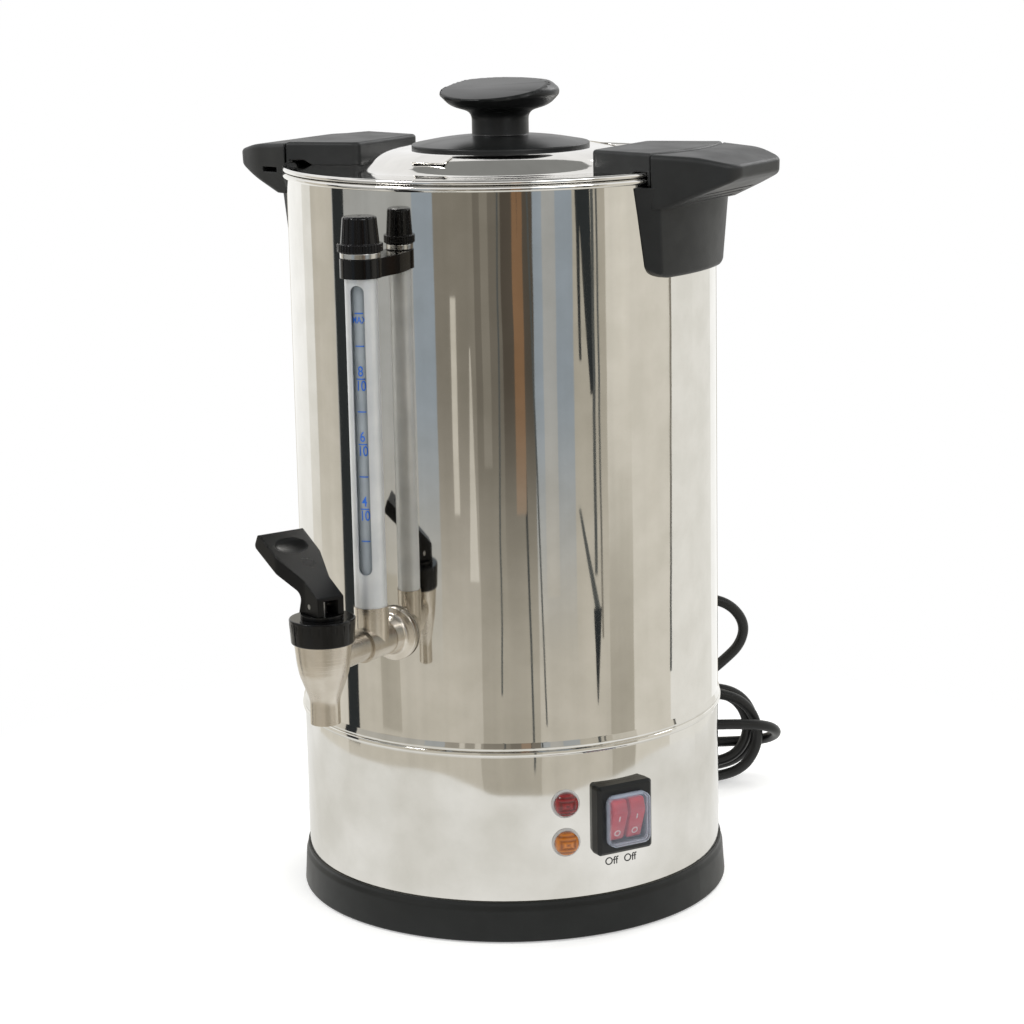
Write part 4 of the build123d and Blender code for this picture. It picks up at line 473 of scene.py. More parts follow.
# Nylon from a fine-grained mould: deep black, satin on its edges.
LEVER_BLACK = Finish("nylon_lever_satin", "charcoal_plastic", "#101010", "#0B0B0B", Pattern.MOULDED,
                     roughness=0.3, spread=0.04, grain=1.2, relief=0.012, edge=1.0, ior=1.3)
# ABS from a polished mould: piano black with sharp small highlights.
GLOSS_BLACK = Finish("abs_black_polished_mould", "black_plastic", "#0B0B0C", "#070708", Pattern.PLAIN,
                     roughness=0.16, spread=0.03, grain=3, relief=0.01, edge=0.35, ior=1.4)
# Nylon switch frame: matt black, lighter along its rounded edges.
FRAME_BLACK = Finish("nylon_switch_frame", "black_plastic", "#111416", "#0C0F10", Pattern.MOULDED,
                     roughness=0.33, spread=0.03, grain=1.2, relief=0.012, edge=0.5)
# Flexible PVC sheath, extruded: satin with a faint lengthwise unevenness.
CORD_PVC = Finish("pvc_sheath_extruded", "black_cord", "#161718", "#101111", Pattern.PLAIN,
                  roughness=0.38, spread=0.05, grain=3, relief=0.03)
# PVC moulded round the pins: duller than the sheath.
PLUG_PVC = Finish("pvc_plug_moulded", "black_cord", "#1A1A1B", "#131314", Pattern.MOULDED,
                  roughness=0.45, spread=0.04, grain=1.2, relief=0.03, edge=1.0)
# Moulded rubber: dull black without highlights.
RUBBER = Finish("rubber_moulded", "black_rubber", "#1B1B1B", "#141414", Pattern.MOULDED,
                roughness=0.65, grain=1.2, relief=0.03)
# Moulded white silicone of the seals: milky and soft.
SILICONE = Finish("silicone_moulded_white", "white_silicone", "#DAD9D4", "#CFCEC8", Pattern.PLAIN,
                  roughness=0.5, grain=3, relief=0.02)
# Clear silicone: seen through in the middle, milky and bluish where it turns away at its edges.
COVER_SILICONE = Finish("silicone_moulded_clear", "clear_silicone", "#D4DCEA", "#C2CCDE", Pattern.PLAIN,
                        roughness=0.14, spread=0.04, grain=7, relief=0.08, alpha=0.1, edge_alpha=1.0,
                        ior=1.45, edge=1.8)
# Red polycarbonate: a deep colour under a clear gloss, with a faint emission that paints in the glow of light
# scattered inside.
ROCKER_RED = Finish("polycarbonate_red_translucent", "red_plastic", "#C41F29", "#A61720", Pattern.PLAIN,
                    roughness=0.2, grain=4, relief=0.02, coat=0.5, glow=0.12)
# Polycarbonate lenses with prisms inside: oblong rings of dark and bright colour under a clear dome, with a
# faint emission in the bright colour that paints a glow into the lenses. The rings are drawn 1.8 mm wide so
# that they show.
LENS_RED = Finish("polycarbonate_red_prismatic", "red_lens", "#560A0F", "#92181E", Pattern.SQUARES,
                  roughness=0.16, spread=0.02, grain=1.8, relief=0.8, coat=1.0, glow=0.03)
LENS_AMBER = Finish("polycarbonate_amber_prismatic", "amber_lens", "#864408", "#CE781C", Pattern.SQUARES,
                    roughness=0.16, spread=0.02, grain=1.8, relief=0.8, coat=1.0, glow=0.05)
# Clear polycarbonate flange: a pale, glassy ring on the steel.
LENS_CLEAR = Finish("polycarbonate_clear_flange", "clear_silicone", "#DCDCDA", "#C9C9C7", Pattern.PLAIN,
                    roughness=0.06, spread=0.02, grain=4, relief=0.01, alpha=0.72, edge_alpha=0.95, ior=1.5)
# Drawn borosilicate tube: pale and see-through, denser along its sides.
GLASS = Finish("borosilicate_tube_drawn", "clear_glass", "#C9D0D5", "#B7C0C6", Pattern.BRUSHED,
               roughness=0.05, spread=0.02, grain=3, relief=0.02, alpha=0.55, edge_alpha=0.85, ior=1.47)
# Screen-printed inks: flat, even colour without shine.
INK_BLUE = Finish("scale_ink_printed_blue", "wire_sheath", "#2A6FD8", "#2264C6", Pattern.PLAIN,
                  roughness=0.5, grain=2, relief=0.003)
INK_BLACK = Finish("legend_ink_printed_black", "black_plastic", "#303132", "#28292A", Pattern.PLAIN,
                   roughness=0.5, grain=2, relief=0.003)
INK_WHITE = Finish("mark_ink_printed_white", "white_plastic", "#F2E4E4", "#E6D6D6", Pattern.PLAIN,
                   roughness=0.5, grain=2, relief=0.003)
# Moulded nylon of lamp and thermostat bodies: warm white, matt.
HOLDER_WHITE = Finish("pa66_moulded_white", "white_plastic", "#DCD9CF", "#D0CCC0", Pattern.MOULDED,
                      roughness=0.5, grain=1.5, relief=0.03)
# Silicone sheath of the wiring: muted blue, rubbery.
WIRE_BLUE = Finish("silicone_wire_sheath", "wire_sheath", "#3C4C86", "#2E3C72", Pattern.PLAIN,
                   roughness=0.5, grain=3, relief=0.02)
# Moulded red nylon of the reset button: opaque, half gloss.
RESET_RED = Finish("pa66_moulded_red", "red_plastic", "#B3201F", "#991817", Pattern.PLAIN,
                   roughness=0.35, grain=3, relief=0.02)

# Finish of each CAD node that stays in view.
CAD_FINISHES: dict[Finish, tuple[str, ...]] = {
    TANK_STEEL: ("tank_shell",),
    HOUSING_STEEL: ("lower_housing",),
    LID_STEEL: ("lid_dish",),
    PLAIN_STEEL: ("tank_floor", "boil_element", "warm_element", "valve_stem", "lever_pin"),
    SCREW_STEEL: ("bottom_screws", "handle_screws", "lid_screws", "element_clamp", "earth_stud"),
    NICKEL: ("tap_body", "tap_flange", "tap_lock_nut", "gauge_tee", "plug_pins"),
    FERRULE: ("gauge_ferrule",),
    ANODISED: ("gauge_guard", "heat_plate"),
    CHARCOAL: ("handle_right", "handle_left", "lid_lug_right", "lid_lug_left", "bottom_cover"),
    BASE_BLACK: ("base_skirt",),
    LEVER_BLACK: ("lever",),
    GLOSS_BLACK: ("tap_collar", "lever_saddle", "gauge_bracket", "gauge_cap"),
    FRAME_BLACK: ("switch_frame", "switch_body"),
    PLUG_PVC: ("plug_body",),
    RUBBER: ("rubber_feet",),
    SILICONE: ("tap_seals", "gauge_seals", "valve_cup", "lid_seal"),
    COVER_SILICONE: ("switch_cover",),
    GLASS: ("gauge_glass",),
    HOLDER_WHITE: ("lamp_bodies", "boil_thermostat", "warm_thermostat", "dry_boil_cutout", "terminal_block"),
    WIRE_BLUE: ("wiring_loom",),
    RESET_RED: ("reset_button",),
}


def dress_cad_nodes() -> None:
    """Gives every CAD node that stays in view its finish."""
    for finish, nodes in CAD_FINISHES.items():
        for node in nodes:
            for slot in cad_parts[node].material_slots:
                slot.material = finish.material()
        LOG.info("finish %s on %s", finish.name, ", ".join(nodes))


# --- camera, light and background -----------------------------------------------------------------
@dataclass(frozen=True)
class StudioCamera:
    """Camera at the height of the lid, a little right of the tap. Lengths in metres, angles in degrees."""

    focal_mm: float = 97.525
    sensor_mm: float = 36.0
    distance: float = 1.46144
    height: float = 0.51901
    azimuth: float = CAMERA_AZIMUTH
    yaw: float = -0.083
    pitch: float = -12.237
    roll: float = -1.1415

    def build(self) -> bpy.types.Object:
        """Places the camera and makes it the scene's.

        Returns:
            The camera object.
        """
        data = bpy.data.cameras.new("studio_camera")
        data.lens = self.focal_mm
        data.sensor_width = self.sensor_mm
        camera = put_in_scene("studio_camera", data)
        turn = math.radians(self.azimuth)
        spot = Vector((self.distance * math.sin(turn), -self.distance * math.cos(turn), self.height))
        aim = turned(self.azimuth + self.yaw)
        aim = aim @ Matrix.Rotation(math.radians(90 + self.pitch), 4, "X")
        aim = aim @ Matrix.Rotation(math.radians(self.roll), 4, "Z")
        camera.matrix_world = Matrix.Translation(spot) @ aim
        bpy.context.scene.camera = camera
        return camera


class Tone(Enum):
    """Papers and cloths that the reflector cards are made of."""

    WHITE = "#EDEDEB"
    PALE = "#DAD9D4"
    CREAM = "#CAC6BC"
    LINEN = "#B8B3A8"
    STONE = "#A49F93"
    GREY = "#9C9D9B"
    BLUE = "#8A939B"
    TAUPE = "#7A756B"
    OLIVE = "#676259"
    UMBER = "#4C463E"
    SLATE = "#4A4D4C"
    RUST = "#7A5F47"
    BLACK = "#2A2D2E"


@dataclass(frozen=True)
class Card:
    """One upright reflector card of the ring round the table.

    Start and end are degrees from the camera's side, low and high its tones at foot and top. Foot and top are
    heights in metres. Lean is how far its top is turned from its foot, in degrees, and point the width of its
    top as a share of its foot's. Fold is the share by which its folds change its tone.
    """

    name: str
    start: float
    end: float
    low: Tone
    high: Tone
    foot: float = 0.001
    top: float = 0.42
    lean: float = 0.0
    point: float = 1.0
    fold: float = 0.05


@dataclass(frozen=True)
class Lamp:
    """One square area lamp, which points at the middle of the urn. Lengths in metres, power in watts."""

    name: str
    spot: Triple
    size: float
    power: float
    glossy: bool = True
    aim: Triple = (0, 0, 0.2)

    def build(self) -> None:
        """Builds the lamp; without glossy, reflections don't show it."""
        data = bpy.data.lights.new(self.name, "AREA")
        data.shape = "SQUARE"
        data.size = self.size
        data.energy = self.power
        lamp = put_in_scene(self.name, data)
        lamp.location = self.spot
        lamp.rotation_euler = (Vector(self.aim) - Vector(self.spot)).to_track_quat("-Z", "Y").to_euler()
        lamp.visible_glossy = self.glossy


@dataclass(frozen=True)
class Studio:
    """Pale floor, soft lamps, white surroundings, and the ring of cards that polished steel reflects.

    Lengths in metres. Only reflections show the cards and the ceiling. Between the radii of shadow_r the
    floor fades from its shadow to white. Lifts and levels are strengths of light, card_rise is the heights
    between which a card changes tone, and column_width is in degrees.
    """

    floor_r: float = 6.0
    floor_steps: int = 96
    floor_lift: float = 0.42
    floor_mirrored: float = 1.12
    shadow_r: Pair = (0.26, 0.44)
    patch_scale: float = 6.0
    patch_blend: Pair = (0.35, 0.75)
    ceiling_z: float = 2.2
    ceiling_r: float = 1.7
    ceiling_steps: int = 48
    ceiling_level: float = 0.8
    card_r: float = 0.37
    card_level: float = 1.27
    card_rise: Pair = (0.05, 0.26)
    column_width: float = 2.0
    shaped_levels: int = 8
    stand_inset: float = 0.01
    fold_scale: float = 22.0
    fold_stretch: Triple = (1.0, 1.0, 0.15)
    fold_blend: Pair = (0.3, 0.7)
    world_level: float = 0.5
    lamps: tuple[Lamp, ...] = (
        Lamp("key_softbox", (-0.9, -1.3, 1.7), 0.5, 15.0),
        Lamp("fill_softbox", (1.5, -0.7, 1.2), 0.9, 8.0),
        Lamp("top_softbox", (0.1, 0.3, 2.0), 1.2, 13.0, glossy=False),
        Lamp("back_softbox", (0.4, 1.6, 1.3), 0.9, 8.0),
    )
    cards: tuple[Card, ...] = (
        Card("white_far_left", -150, -117, Tone.PALE, Tone.WHITE, fold=0.01),
        Card("white_left", -117, -107, Tone.CREAM, Tone.PALE, fold=0.02),
        Card("cream_left", -107, -88, Tone.CREAM, Tone.LINEN),
        Card("grey_left", -88, -41, Tone.LINEN, Tone.GREY),
        Card("blue_left", -41, -31, Tone.LINEN, Tone.BLUE),
        Card("taupe", -31, -13, Tone.LINEN, Tone.TAUPE),
        Card("olive", -13, -1, Tone.STONE, Tone.OLIVE),
        Card("umber", -1, 13, Tone.STONE, Tone.UMBER),
        Card("cool", 13, 31, Tone.LINEN, Tone.BLUE),
        Card("stone", 31, 47, Tone.LINEN, Tone.STONE),
        Card("cream_right", 47, 60, Tone.STONE, Tone.CREAM),
        Card("pale_block", 60, 84, Tone.CREAM, Tone.CREAM, fold=0.02),
        Card("white_right", 84, 130, Tone.PALE, Tone.PALE, fold=0.01),
        Card("white_far_right", 130, 150, Tone.WHITE, Tone.WHITE, fold=0.01),
        Card("grey_back", 150, 183, Tone.LINEN, Tone.STONE),
        Card("cream_back", 183, 210, Tone.CREAM, Tone.CREAM),
    )
    stands: tuple[Card, ...] = (
        Card("stand_left", -87, -79, Tone.BLACK, Tone.BLACK, foot=0.015),
        Card("stand_low", -64, -53, Tone.STONE, Tone.STONE, foot=0.03, top=0.13),
        Card("lit_edge_left", -24, -21.5, Tone.CREAM, Tone.LINEN, foot=0.17, top=0.30),
        Card("lit_tip", -17.5, -13.5, Tone.CREAM, Tone.LINEN, foot=0.13, top=0.27, point=0.1),
        Card("lit_edge_mid", -10, -6.5, Tone.LINEN, Tone.TAUPE, foot=0.20),
        Card("line_left", -4.6, -3.9, Tone.SLATE, Tone.SLATE, foot=0.06, lean=2.5),
        Card("rust", 4.0, 8.5, Tone.STONE, Tone.RUST, foot=0.17),
        Card("line_mid", 9.4, 10.3, Tone.SLATE, Tone.BLACK, foot=0.02, lean=-4.0),
        Card("line_right", 15.4, 16.1, Tone.SLATE, Tone.SLATE, foot=0.04, lean=-6.0),
        Card("haze", 17.0, 23.0, Tone.LINEN, Tone.GREY, foot=0.12),
        Card("wedge_high", 38.5, 40.0, Tone.BLACK, Tone.BLACK, foot=0.24, lean=-4.5, point=5.6),
        Card("wedge_side", 39.6, 41.0, Tone.SLATE, Tone.SLATE, foot=0.13, lean=0.0),
        Card("wedge_left", 33.5, 34.6, Tone.SLATE, Tone.BLACK, foot=0.26, lean=-1.5, point=2.0),
        Card("line_wedge", 42.8, 43.7, Tone.TAUPE, Tone.SLATE, foot=0.09, lean=-1.0),
        Card("spear", 40.0, 40.5, Tone.BLACK, Tone.BLACK, foot=0.05, top=0.11, lean=0.5, point=8.0),
        Card("spear_arm", 39.5, 42.0, Tone.SLATE, Tone.SLATE, foot=0.11, top=0.17, lean=-8.0, point=0.4),
        Card("line_block", 83.2, 84.6, Tone.SLATE, Tone.TAUPE, foot=0.055),
        Card("stand_back_a", 164, 169, Tone.STONE, Tone.OLIVE),
        Card("stand_back_b", 183, 187, Tone.SLATE, Tone.BLACK),
    )

    def build(self) -> None:
        """Builds floor, cards, lamps and world."""
        self.floor()
        self.ceiling()
        for card in self.cards:
            self.card(card, self.card_r)
        for stand in self.stands:
            self.card(stand, self.card_r - self.stand_inset)
        for lamp in self.lamps:
            lamp.build()
        self.world()
        bpy.context.scene.view_settings.view_transform = "Standard"

    def floor(self) -> None:
        """Builds the pale floor, white to the camera but for the urn's soft shadow."""
        mesh = lathe("floor", [(0, 0), (self.floor_r / MM, 0)], self.floor_steps)
        put_in_scene("floor", mesh)
        material, tree = new_tree("floor_paper")
        path = add_node(tree, "ShaderNodeLightPath")
        place = add_node(tree, "ShaderNodeTexCoord").outputs["Object"]
        reach = add_node(tree, "ShaderNodeVectorMath", {0: place}, operation="LENGTH").outputs["Value"]
        far = add_node(tree, "ShaderNodeMapRange", {
            "Value": reach, "From Min": self.shadow_r[0], "From Max": self.shadow_r[1]},
            interpolation_type="SMOOTHSTEP")
        paper = add_node(tree, "ShaderNodeBsdfDiffuse", {"Color": linear("#E6E6E4")})
        glow = add_node(tree, "ShaderNodeEmission", {"Color": (1, 1, 1, 1), "Strength": self.floor_lift})
        near = add_node(tree, "ShaderNodeAddShader", {0: paper.outputs[0], 1: glow.outputs[0]})
        white = add_node(tree, "ShaderNodeEmission", {"Color": (1, 1, 1, 1), "Strength": 1.0})
        seen = add_node(tree, "ShaderNodeMixShader", {
            0: far.outputs["Result"], 1: near.outputs[0], 2: white.outputs[0]})
        patches = add_node(tree, "ShaderNodeTexNoise", {
            "Vector": place, "Scale": self.patch_scale, "Detail": 0.0})
        patch = add_node(tree, "ShaderNodeMapRange", {
            "Value": patches.outputs["Fac"],
            "From Min": self.patch_blend[0], "From Max": self.patch_blend[1]})
        tone = add_node(tree, "ShaderNodeMix", {
            MIX_SHARE: patch.outputs["Result"],
            MIX_COLOUR_A: linear(Tone.PALE.value), MIX_COLOUR_B: linear(Tone.WHITE.value)}, data_type="RGBA")
        mirror = add_node(tree, "ShaderNodeEmission", {
            "Color": tone.outputs[MIX_COLOUR_OUT], "Strength": self.floor_mirrored})
        first = add_node(tree, "ShaderNodeMixShader", {
            0: path.outputs["Is Camera Ray"], 1: paper.outputs[0], 2: seen.outputs[0]})
        second = add_node(tree, "ShaderNodeMixShader", {
            0: path.outputs["Is Glossy Ray"], 1: first.outputs[0], 2: mirror.outputs[0]})
        add_node(tree, "ShaderNodeOutputMaterial", {"Surface": second.outputs[0]})
        mesh.materials.append(material)

    def ceiling(self) -> None:
        """Builds the grey ceiling, which only reflections show."""
        height = self.ceiling_z / MM
        mesh = lathe("ceiling", [(0, height), (self.ceiling_r / MM, height)], self.ceiling_steps)
        self.stage_for_gloss("ceiling", mesh)
        material, tree = new_tree("ceiling_paint")
        glow = add_node(tree, "ShaderNodeEmission", {
            "Color": linear(Tone.GREY.value), "Strength": self.ceiling_level})
        add_node(tree, "ShaderNodeOutputMaterial", {"Surface": glow.outputs[0]})
        mesh.materials.append(material)

    @staticmethod
    def stage_for_gloss(name: str, mesh: bpy.types.Mesh) -> None:
        """Puts up a piece of the studio that only reflections show.

        Args:
            name: name of the piece.
            mesh: its mesh, in metres.
        """
        piece = put_in_scene(name, mesh)
        piece.visible_camera = False
        piece.visible_diffuse = False
        piece.visible_transmission = False
        piece.visible_shadow = False

    def card(self, card: Card, radius: float) -> None:
        """Builds one curved card, with a tone that changes up its height.

        Args:
            card: the card.
            radius: distance from the urn's axis.
        """
        bm = bmesh.new()
        columns = max(1, round((card.end - card.start) / self.column_width))
        levels = self.shaped_levels if card.lean or card.point != 1.0 else 1
        rows = []
        for level in range(levels + 1):
            share = level / levels
            height = card.foot + (card.top - card.foot) * share
            half = (card.end - card.start) / 2 * (1 + (card.point - 1) * share)
            middle = CAMERA_AZIMUTH + (card.start + card.end) / 2 + card.lean * share
            angles = [math.radians(middle + half * (2 * i / columns - 1)) for i in range(columns + 1)]
            rows.append([bm.verts.new((radius * math.sin(a), -radius * math.cos(a), height)) for a in angles])
        for low, high in zip(rows, rows[1:]):
            for i in range(columns):
                bm.faces.new((low[i], low[i + 1], high[i + 1], high[i]))
        mesh = finish_mesh(f"card_{card.name}", bm)
        self.stage_for_gloss(f"card_{card.name}", mesh)
        mesh.materials.append(self.card_paper(card))

    def card_paper(self, card: Card) -> bpy.types.Material:
        """Material of one card: two tones, with soft folds.

        Args:
            card: the card.

        Returns:
            The material.
        """
        material, tree = new_tree(f"card_paper_{card.name}")
        place = add_node(tree, "ShaderNodeTexCoord").outputs["Object"]
        height = add_node(tree, "ShaderNodeSeparateXYZ", {0: place}).outputs["Z"]
        rise = add_node(tree, "ShaderNodeMapRange", {
            "Value": height, "From Min": self.card_rise[0], "From Max": self.card_rise[1]},
            interpolation_type="SMOOTHSTEP")
        tone = add_node(tree, "ShaderNodeMix", {
            MIX_SHARE: rise.outputs["Result"],
            MIX_COLOUR_A: linear(card.low.value), MIX_COLOUR_B: linear(card.high.value)}, data_type="RGBA")
        folds = add_node(tree, "ShaderNodeMapping", {"Vector": place, "Scale": self.fold_stretch})
        streak = add_node(tree, "ShaderNodeTexNoise", {
            "Vector": folds.outputs[0], "Scale": self.fold_scale, "Detail": 2.0, "Roughness": 0.55})
        level = add_node(tree, "ShaderNodeMapRange", {
            "Value": streak.outputs["Fac"], "From Min": self.fold_blend[0], "From Max": self.fold_blend[1],
            "To Min": (1 - card.fold) * self.card_level, "To Max": (1 + card.fold) * self.card_level})
        glow = add_node(tree, "ShaderNodeEmission", {
            "Color": tone.outputs[MIX_COLOUR_OUT], "Strength": level.outputs["Result"]})
        add_node(tree, "ShaderNodeOutputMaterial", {"Surface": glow.outputs[0]})
        return material

    def world(self) -> None:
        """Builds the white surroundings."""
        world = bpy.data.worlds.new("studio")
        bpy.context.scene.world = world
        world.use_nodes = True
        tree = world.node_tree
        tree.nodes.clear()
        path = add_node(tree, "ShaderNodeLightPath")
        plain = add_node(tree, "ShaderNodeBackground", {"Color": (1, 1, 1, 1), "Strength": self.world_level})
        white = add_node(tree, "ShaderNodeBackground", {"Color": (1, 1, 1, 1), "Strength": 1.0})
        seen = path.outputs["Is Camera Ray"]
        for other in ("Is Glossy Ray", "Is Transmission Ray"):
            either = add_node(tree, "ShaderNodeMath", {0: seen, 1: path.outputs[other]}, operation="MAXIMUM")
            seen = either.outputs[0]
        mixed = add_node(tree, "ShaderNodeMixShader", {0: seen, 1: plain.outputs[0], 2: white.outputs[0]})
        add_node(tree, "ShaderNodeOutputWorld", {"Surface": mixed.outputs[0]})


# --- supply cord --------------------------------------------------------------------------------------
@dataclass(frozen=True)
class Turn:
    """One long turn of the hank: bend radius, height of its middle and ends of its straight runs."""

    radius: float
    up: float
    right: float
    left: float


@dataclass(frozen=True)
class SupplyCord:
    """Cord from the strain relief, over a loop into a hank behind the tank, to its plug. Millimetres."""

    length: float = 1600.0
    exit_rho: float = TANK_R + 24.0
    exit_z: float = 80.0
    exit_run: float = 15.5
    first_depth: float = 140.6
    bend_steps: int = 4
    pitch: float = 6.4
    corner_reach: float = 1.07
    turns: tuple[Turn, ...] = (
        Turn(27.0, 30.4, 121.0, 41.0), Turn(22.8, 33.5, 119.5, 43.0), Turn(25.2, 32.0, 121.5, 42.0),
    )
    lead: tuple[Triple, ...] = (
        (88.5, 137.5, 90.0), (97.0, 141.0, 101.5), (105.0, 140.0, 112.5), (118.0, 137.5, 117.8),
        (131.5, 136.0, 113.4), (139.6, 137.0, 101.5), (137.0, 139.5, 88.3), (127.0, 141.0, 78.0),
        (115.5, 141.0, 68.8), (103.5, 140.6, 61.0), (92.0, 140.6, 57.6),
    )
    wrap: tuple[Triple, ...] = (
        (62.0, 160.2, 57.0), (40.0, 161.5, 54.0), (18.0, 162.5, 47.0), (0.0, 159.0, 42.0),
        (-10.0, 150.0, 39.5), (-7.0, 138.5, 39.5), (6.0, 133.8, 39.5), (50.0, 133.8, 39.5),
        (96.0, 133.8, 40.0), (138.0, 133.8, 40.5), (154.0, 137.0, 38.0), (160.5, 148.0, 30.5),
        (155.0, 160.0, 23.0), (138.0, 165.0, 20.0), (96.0, 165.0, 20.0), (50.0, 165.0, 20.0),
        (10.0, 163.0, 20.5),
    )
    tail: tuple[Triple, ...] = (
        (-8.0, 153.0, 21.0), (-16.0, 142.0, 20.5), (-24.0, 135.5, 20.0), (-33.5, 132.0, 19.0),
        (-43.5, 132.0, 19.0),
    )

    @staticmethod
    def hank_point(along: float, behind: float, up: float) -> Vector:
        """Point of the hank's own frame in the urn's frame, in metres."""
        return turned(HANK_TURN) @ (Vector((along, behind, up)) * MM)

    def turn_points(self) -> list[Triple]:
        """Control points of the turns: two runs and two bends each, stepping back by a pitch per turn.

        Returns:
            Points of the hank's own frame.
        """
        points = []
        for number, turn in enumerate(self.turns):
            middle = (turn.right + turn.left) / 2
            places = [(middle, turn.up + turn.radius)]
            for centre, begin in ((turn.left, 90), (turn.right, 270)):
                for step in range(self.bend_steps + 1):
                    angle = math.radians(begin + 180 / self.bend_steps * step)
                    reach = turn.radius * (self.corner_reach if 0 < step < self.bend_steps else 1.0)
                    places.append((centre + reach * math.cos(angle), turn.up + reach * math.sin(angle)))
                if begin == 90:
                    places.append((middle, turn.up - turn.radius))
            for index, (along, up) in enumerate(places):
                depth = self.first_depth + self.pitch * (number + index / len(places))
                points.append((along, depth, up))
        return points

    def build(self) -> None:
        exit_point = Vector((0, self.exit_rho, self.exit_z)) * MM
        after = Vector((0, self.exit_rho + self.exit_run, self.exit_z)) * MM
        route = [exit_point, after]
        for place in [*self.lead, *self.turn_points(), *self.wrap, *self.tail]:
            route.append(self.hank_point(*place))
        curve = bpy.data.curves.new("supply_cord", "CURVE")
        curve.dimensions = "3D"
        curve.bevel_depth = CORD_D / 2 * MM
        curve.bevel_resolution = 6
        curve.resolution_u = 10
        spline = curve.splines.new("NURBS")
        spline.points.add(len(route) - 1)
        for point, place in zip(spline.points, route):
            point.co = (*place, 1.0)
        spline.order_u = 3
        spline.use_endpoint_u = True
        cord = put_in_scene("supply_cord", curve)
        curve.materials.append(CORD_PVC.material())
        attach(cord, ROOT_BODY)
        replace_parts(cord, "cord_lead", "cord_hank", "cord_tail")
        LOG.info("supply cord on %d points", len(route))


@dataclass(frozen=True)
class CordGland:
    """Ribbed strain relief on the rear wall. Millimetres."""

    flange_r: float = 8.9
    flange_t: float = 2.2
    flange_edge: float = 0.4
    sunk: float = 1.0
    root_r: float = 6.9
    tip_r: float = 4.5
    length: float = 23.9
    plain_end: float = 1.0
    ribs: int = 7
    groove: float = 1.2
    rib_draft: float = 0.1
    grip: float = 0.1
    z: float = 80.0
    angle: float = 180.0

    def build(self) -> None:
        """Builds the flange and the ribbed boot as one turned piece."""
        profile = [
            (0, -self.sunk), (self.flange_r, -self.sunk), (self.flange_r, self.flange_t - self.flange_edge),
            (self.flange_r - self.flange_edge, self.flange_t), (self.root_r, self.flange_t),
        ]
        step = (self.length - self.flange_t - 2 * self.plain_end) / self.ribs
        for rib in range(self.ribs):
            low = self.flange_t + self.plain_end + rib * step
            radius = self.root_r + (self.tip_r - self.root_r) * rib / self.ribs
            profile += [
                (radius - self.groove, low), (radius - self.groove, low + 0.3 * step),
                (radius, low + 0.4 * step), (radius - self.rib_draft, low + 0.9 * step),
            ]
        profile += [(self.tip_r, self.length), (CORD_D / 2 - self.grip, self.length)]
        mesh = lathe("gland_boot", profile, segments=40, smooth=50)
        matrix = turned(self.angle) @ place_mm(0, -TANK_R, self.z) @ Matrix.Rotation(math.radians(90), 4, "X")
        piece = add_piece("gland_boot", mesh, RUBBER, matrix)
        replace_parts(piece, "cord_gland")


# --- valve spring ---------------------------------------------------------------------------------------
@dataclass(frozen=True)
class ValveSpring:
    """Coil spring between the stem's collar and the bonnet nut; it shortens as the stem rises. In mm."""

    radius: float = 5.1
    wire_r: float = 0.5
    turns: int = 5
    lift: float = 3.76
    steps: int = 28
    sides: int = 8

    def ring(self, turn: float, height: float) -> list[Vector]:
        """Points round the wire at one place of the helix.

        Args:
            turn: angle along the helix, in radians.
            height: height of the wire's middle, in millimetres.

        Returns:
            The points, in metres.
        """
        points = []
        for side in range(self.sides):
            around = 2 * math.pi * side / self.sides
            reach = self.radius + self.wire_r * math.cos(around)
            up = height + self.wire_r * math.sin(around)
            points.append(Vector((reach * math.cos(turn), reach * math.sin(turn), up)) * MM)
        return points

    def build(self) -> None:
        """Winds the spring between its ends."""
        low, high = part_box("valve_spring")
        foot = low[2] / MM + self.wire_r
        top = high[2] / MM - self.wire_r
        count = self.turns * self.steps
        bm = bmesh.new()
        rings = []
        for step in range(count + 1):
            points = self.ring(2 * math.pi * step / self.steps, foot + (top - foot) * step / count)
            rings.append([bm.verts.new(point) for point in points])
        for before, after in zip(rings, rings[1:]):
            for side in range(self.sides):
                following = (side + 1) % self.sides
                bm.faces.new((before[side], before[following], after[following], after[side]))
        bm.faces.new(rings[0])
        bm.faces.new(rings[-1])
        spring = add_piece("valve_spring_wound", finish_mesh("valve_spring_wound", bm), PLAIN_STEEL,
                           place_mm(0, -TAP_RHO, 0))
        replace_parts(spring, "valve_spring")
        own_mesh(spring)


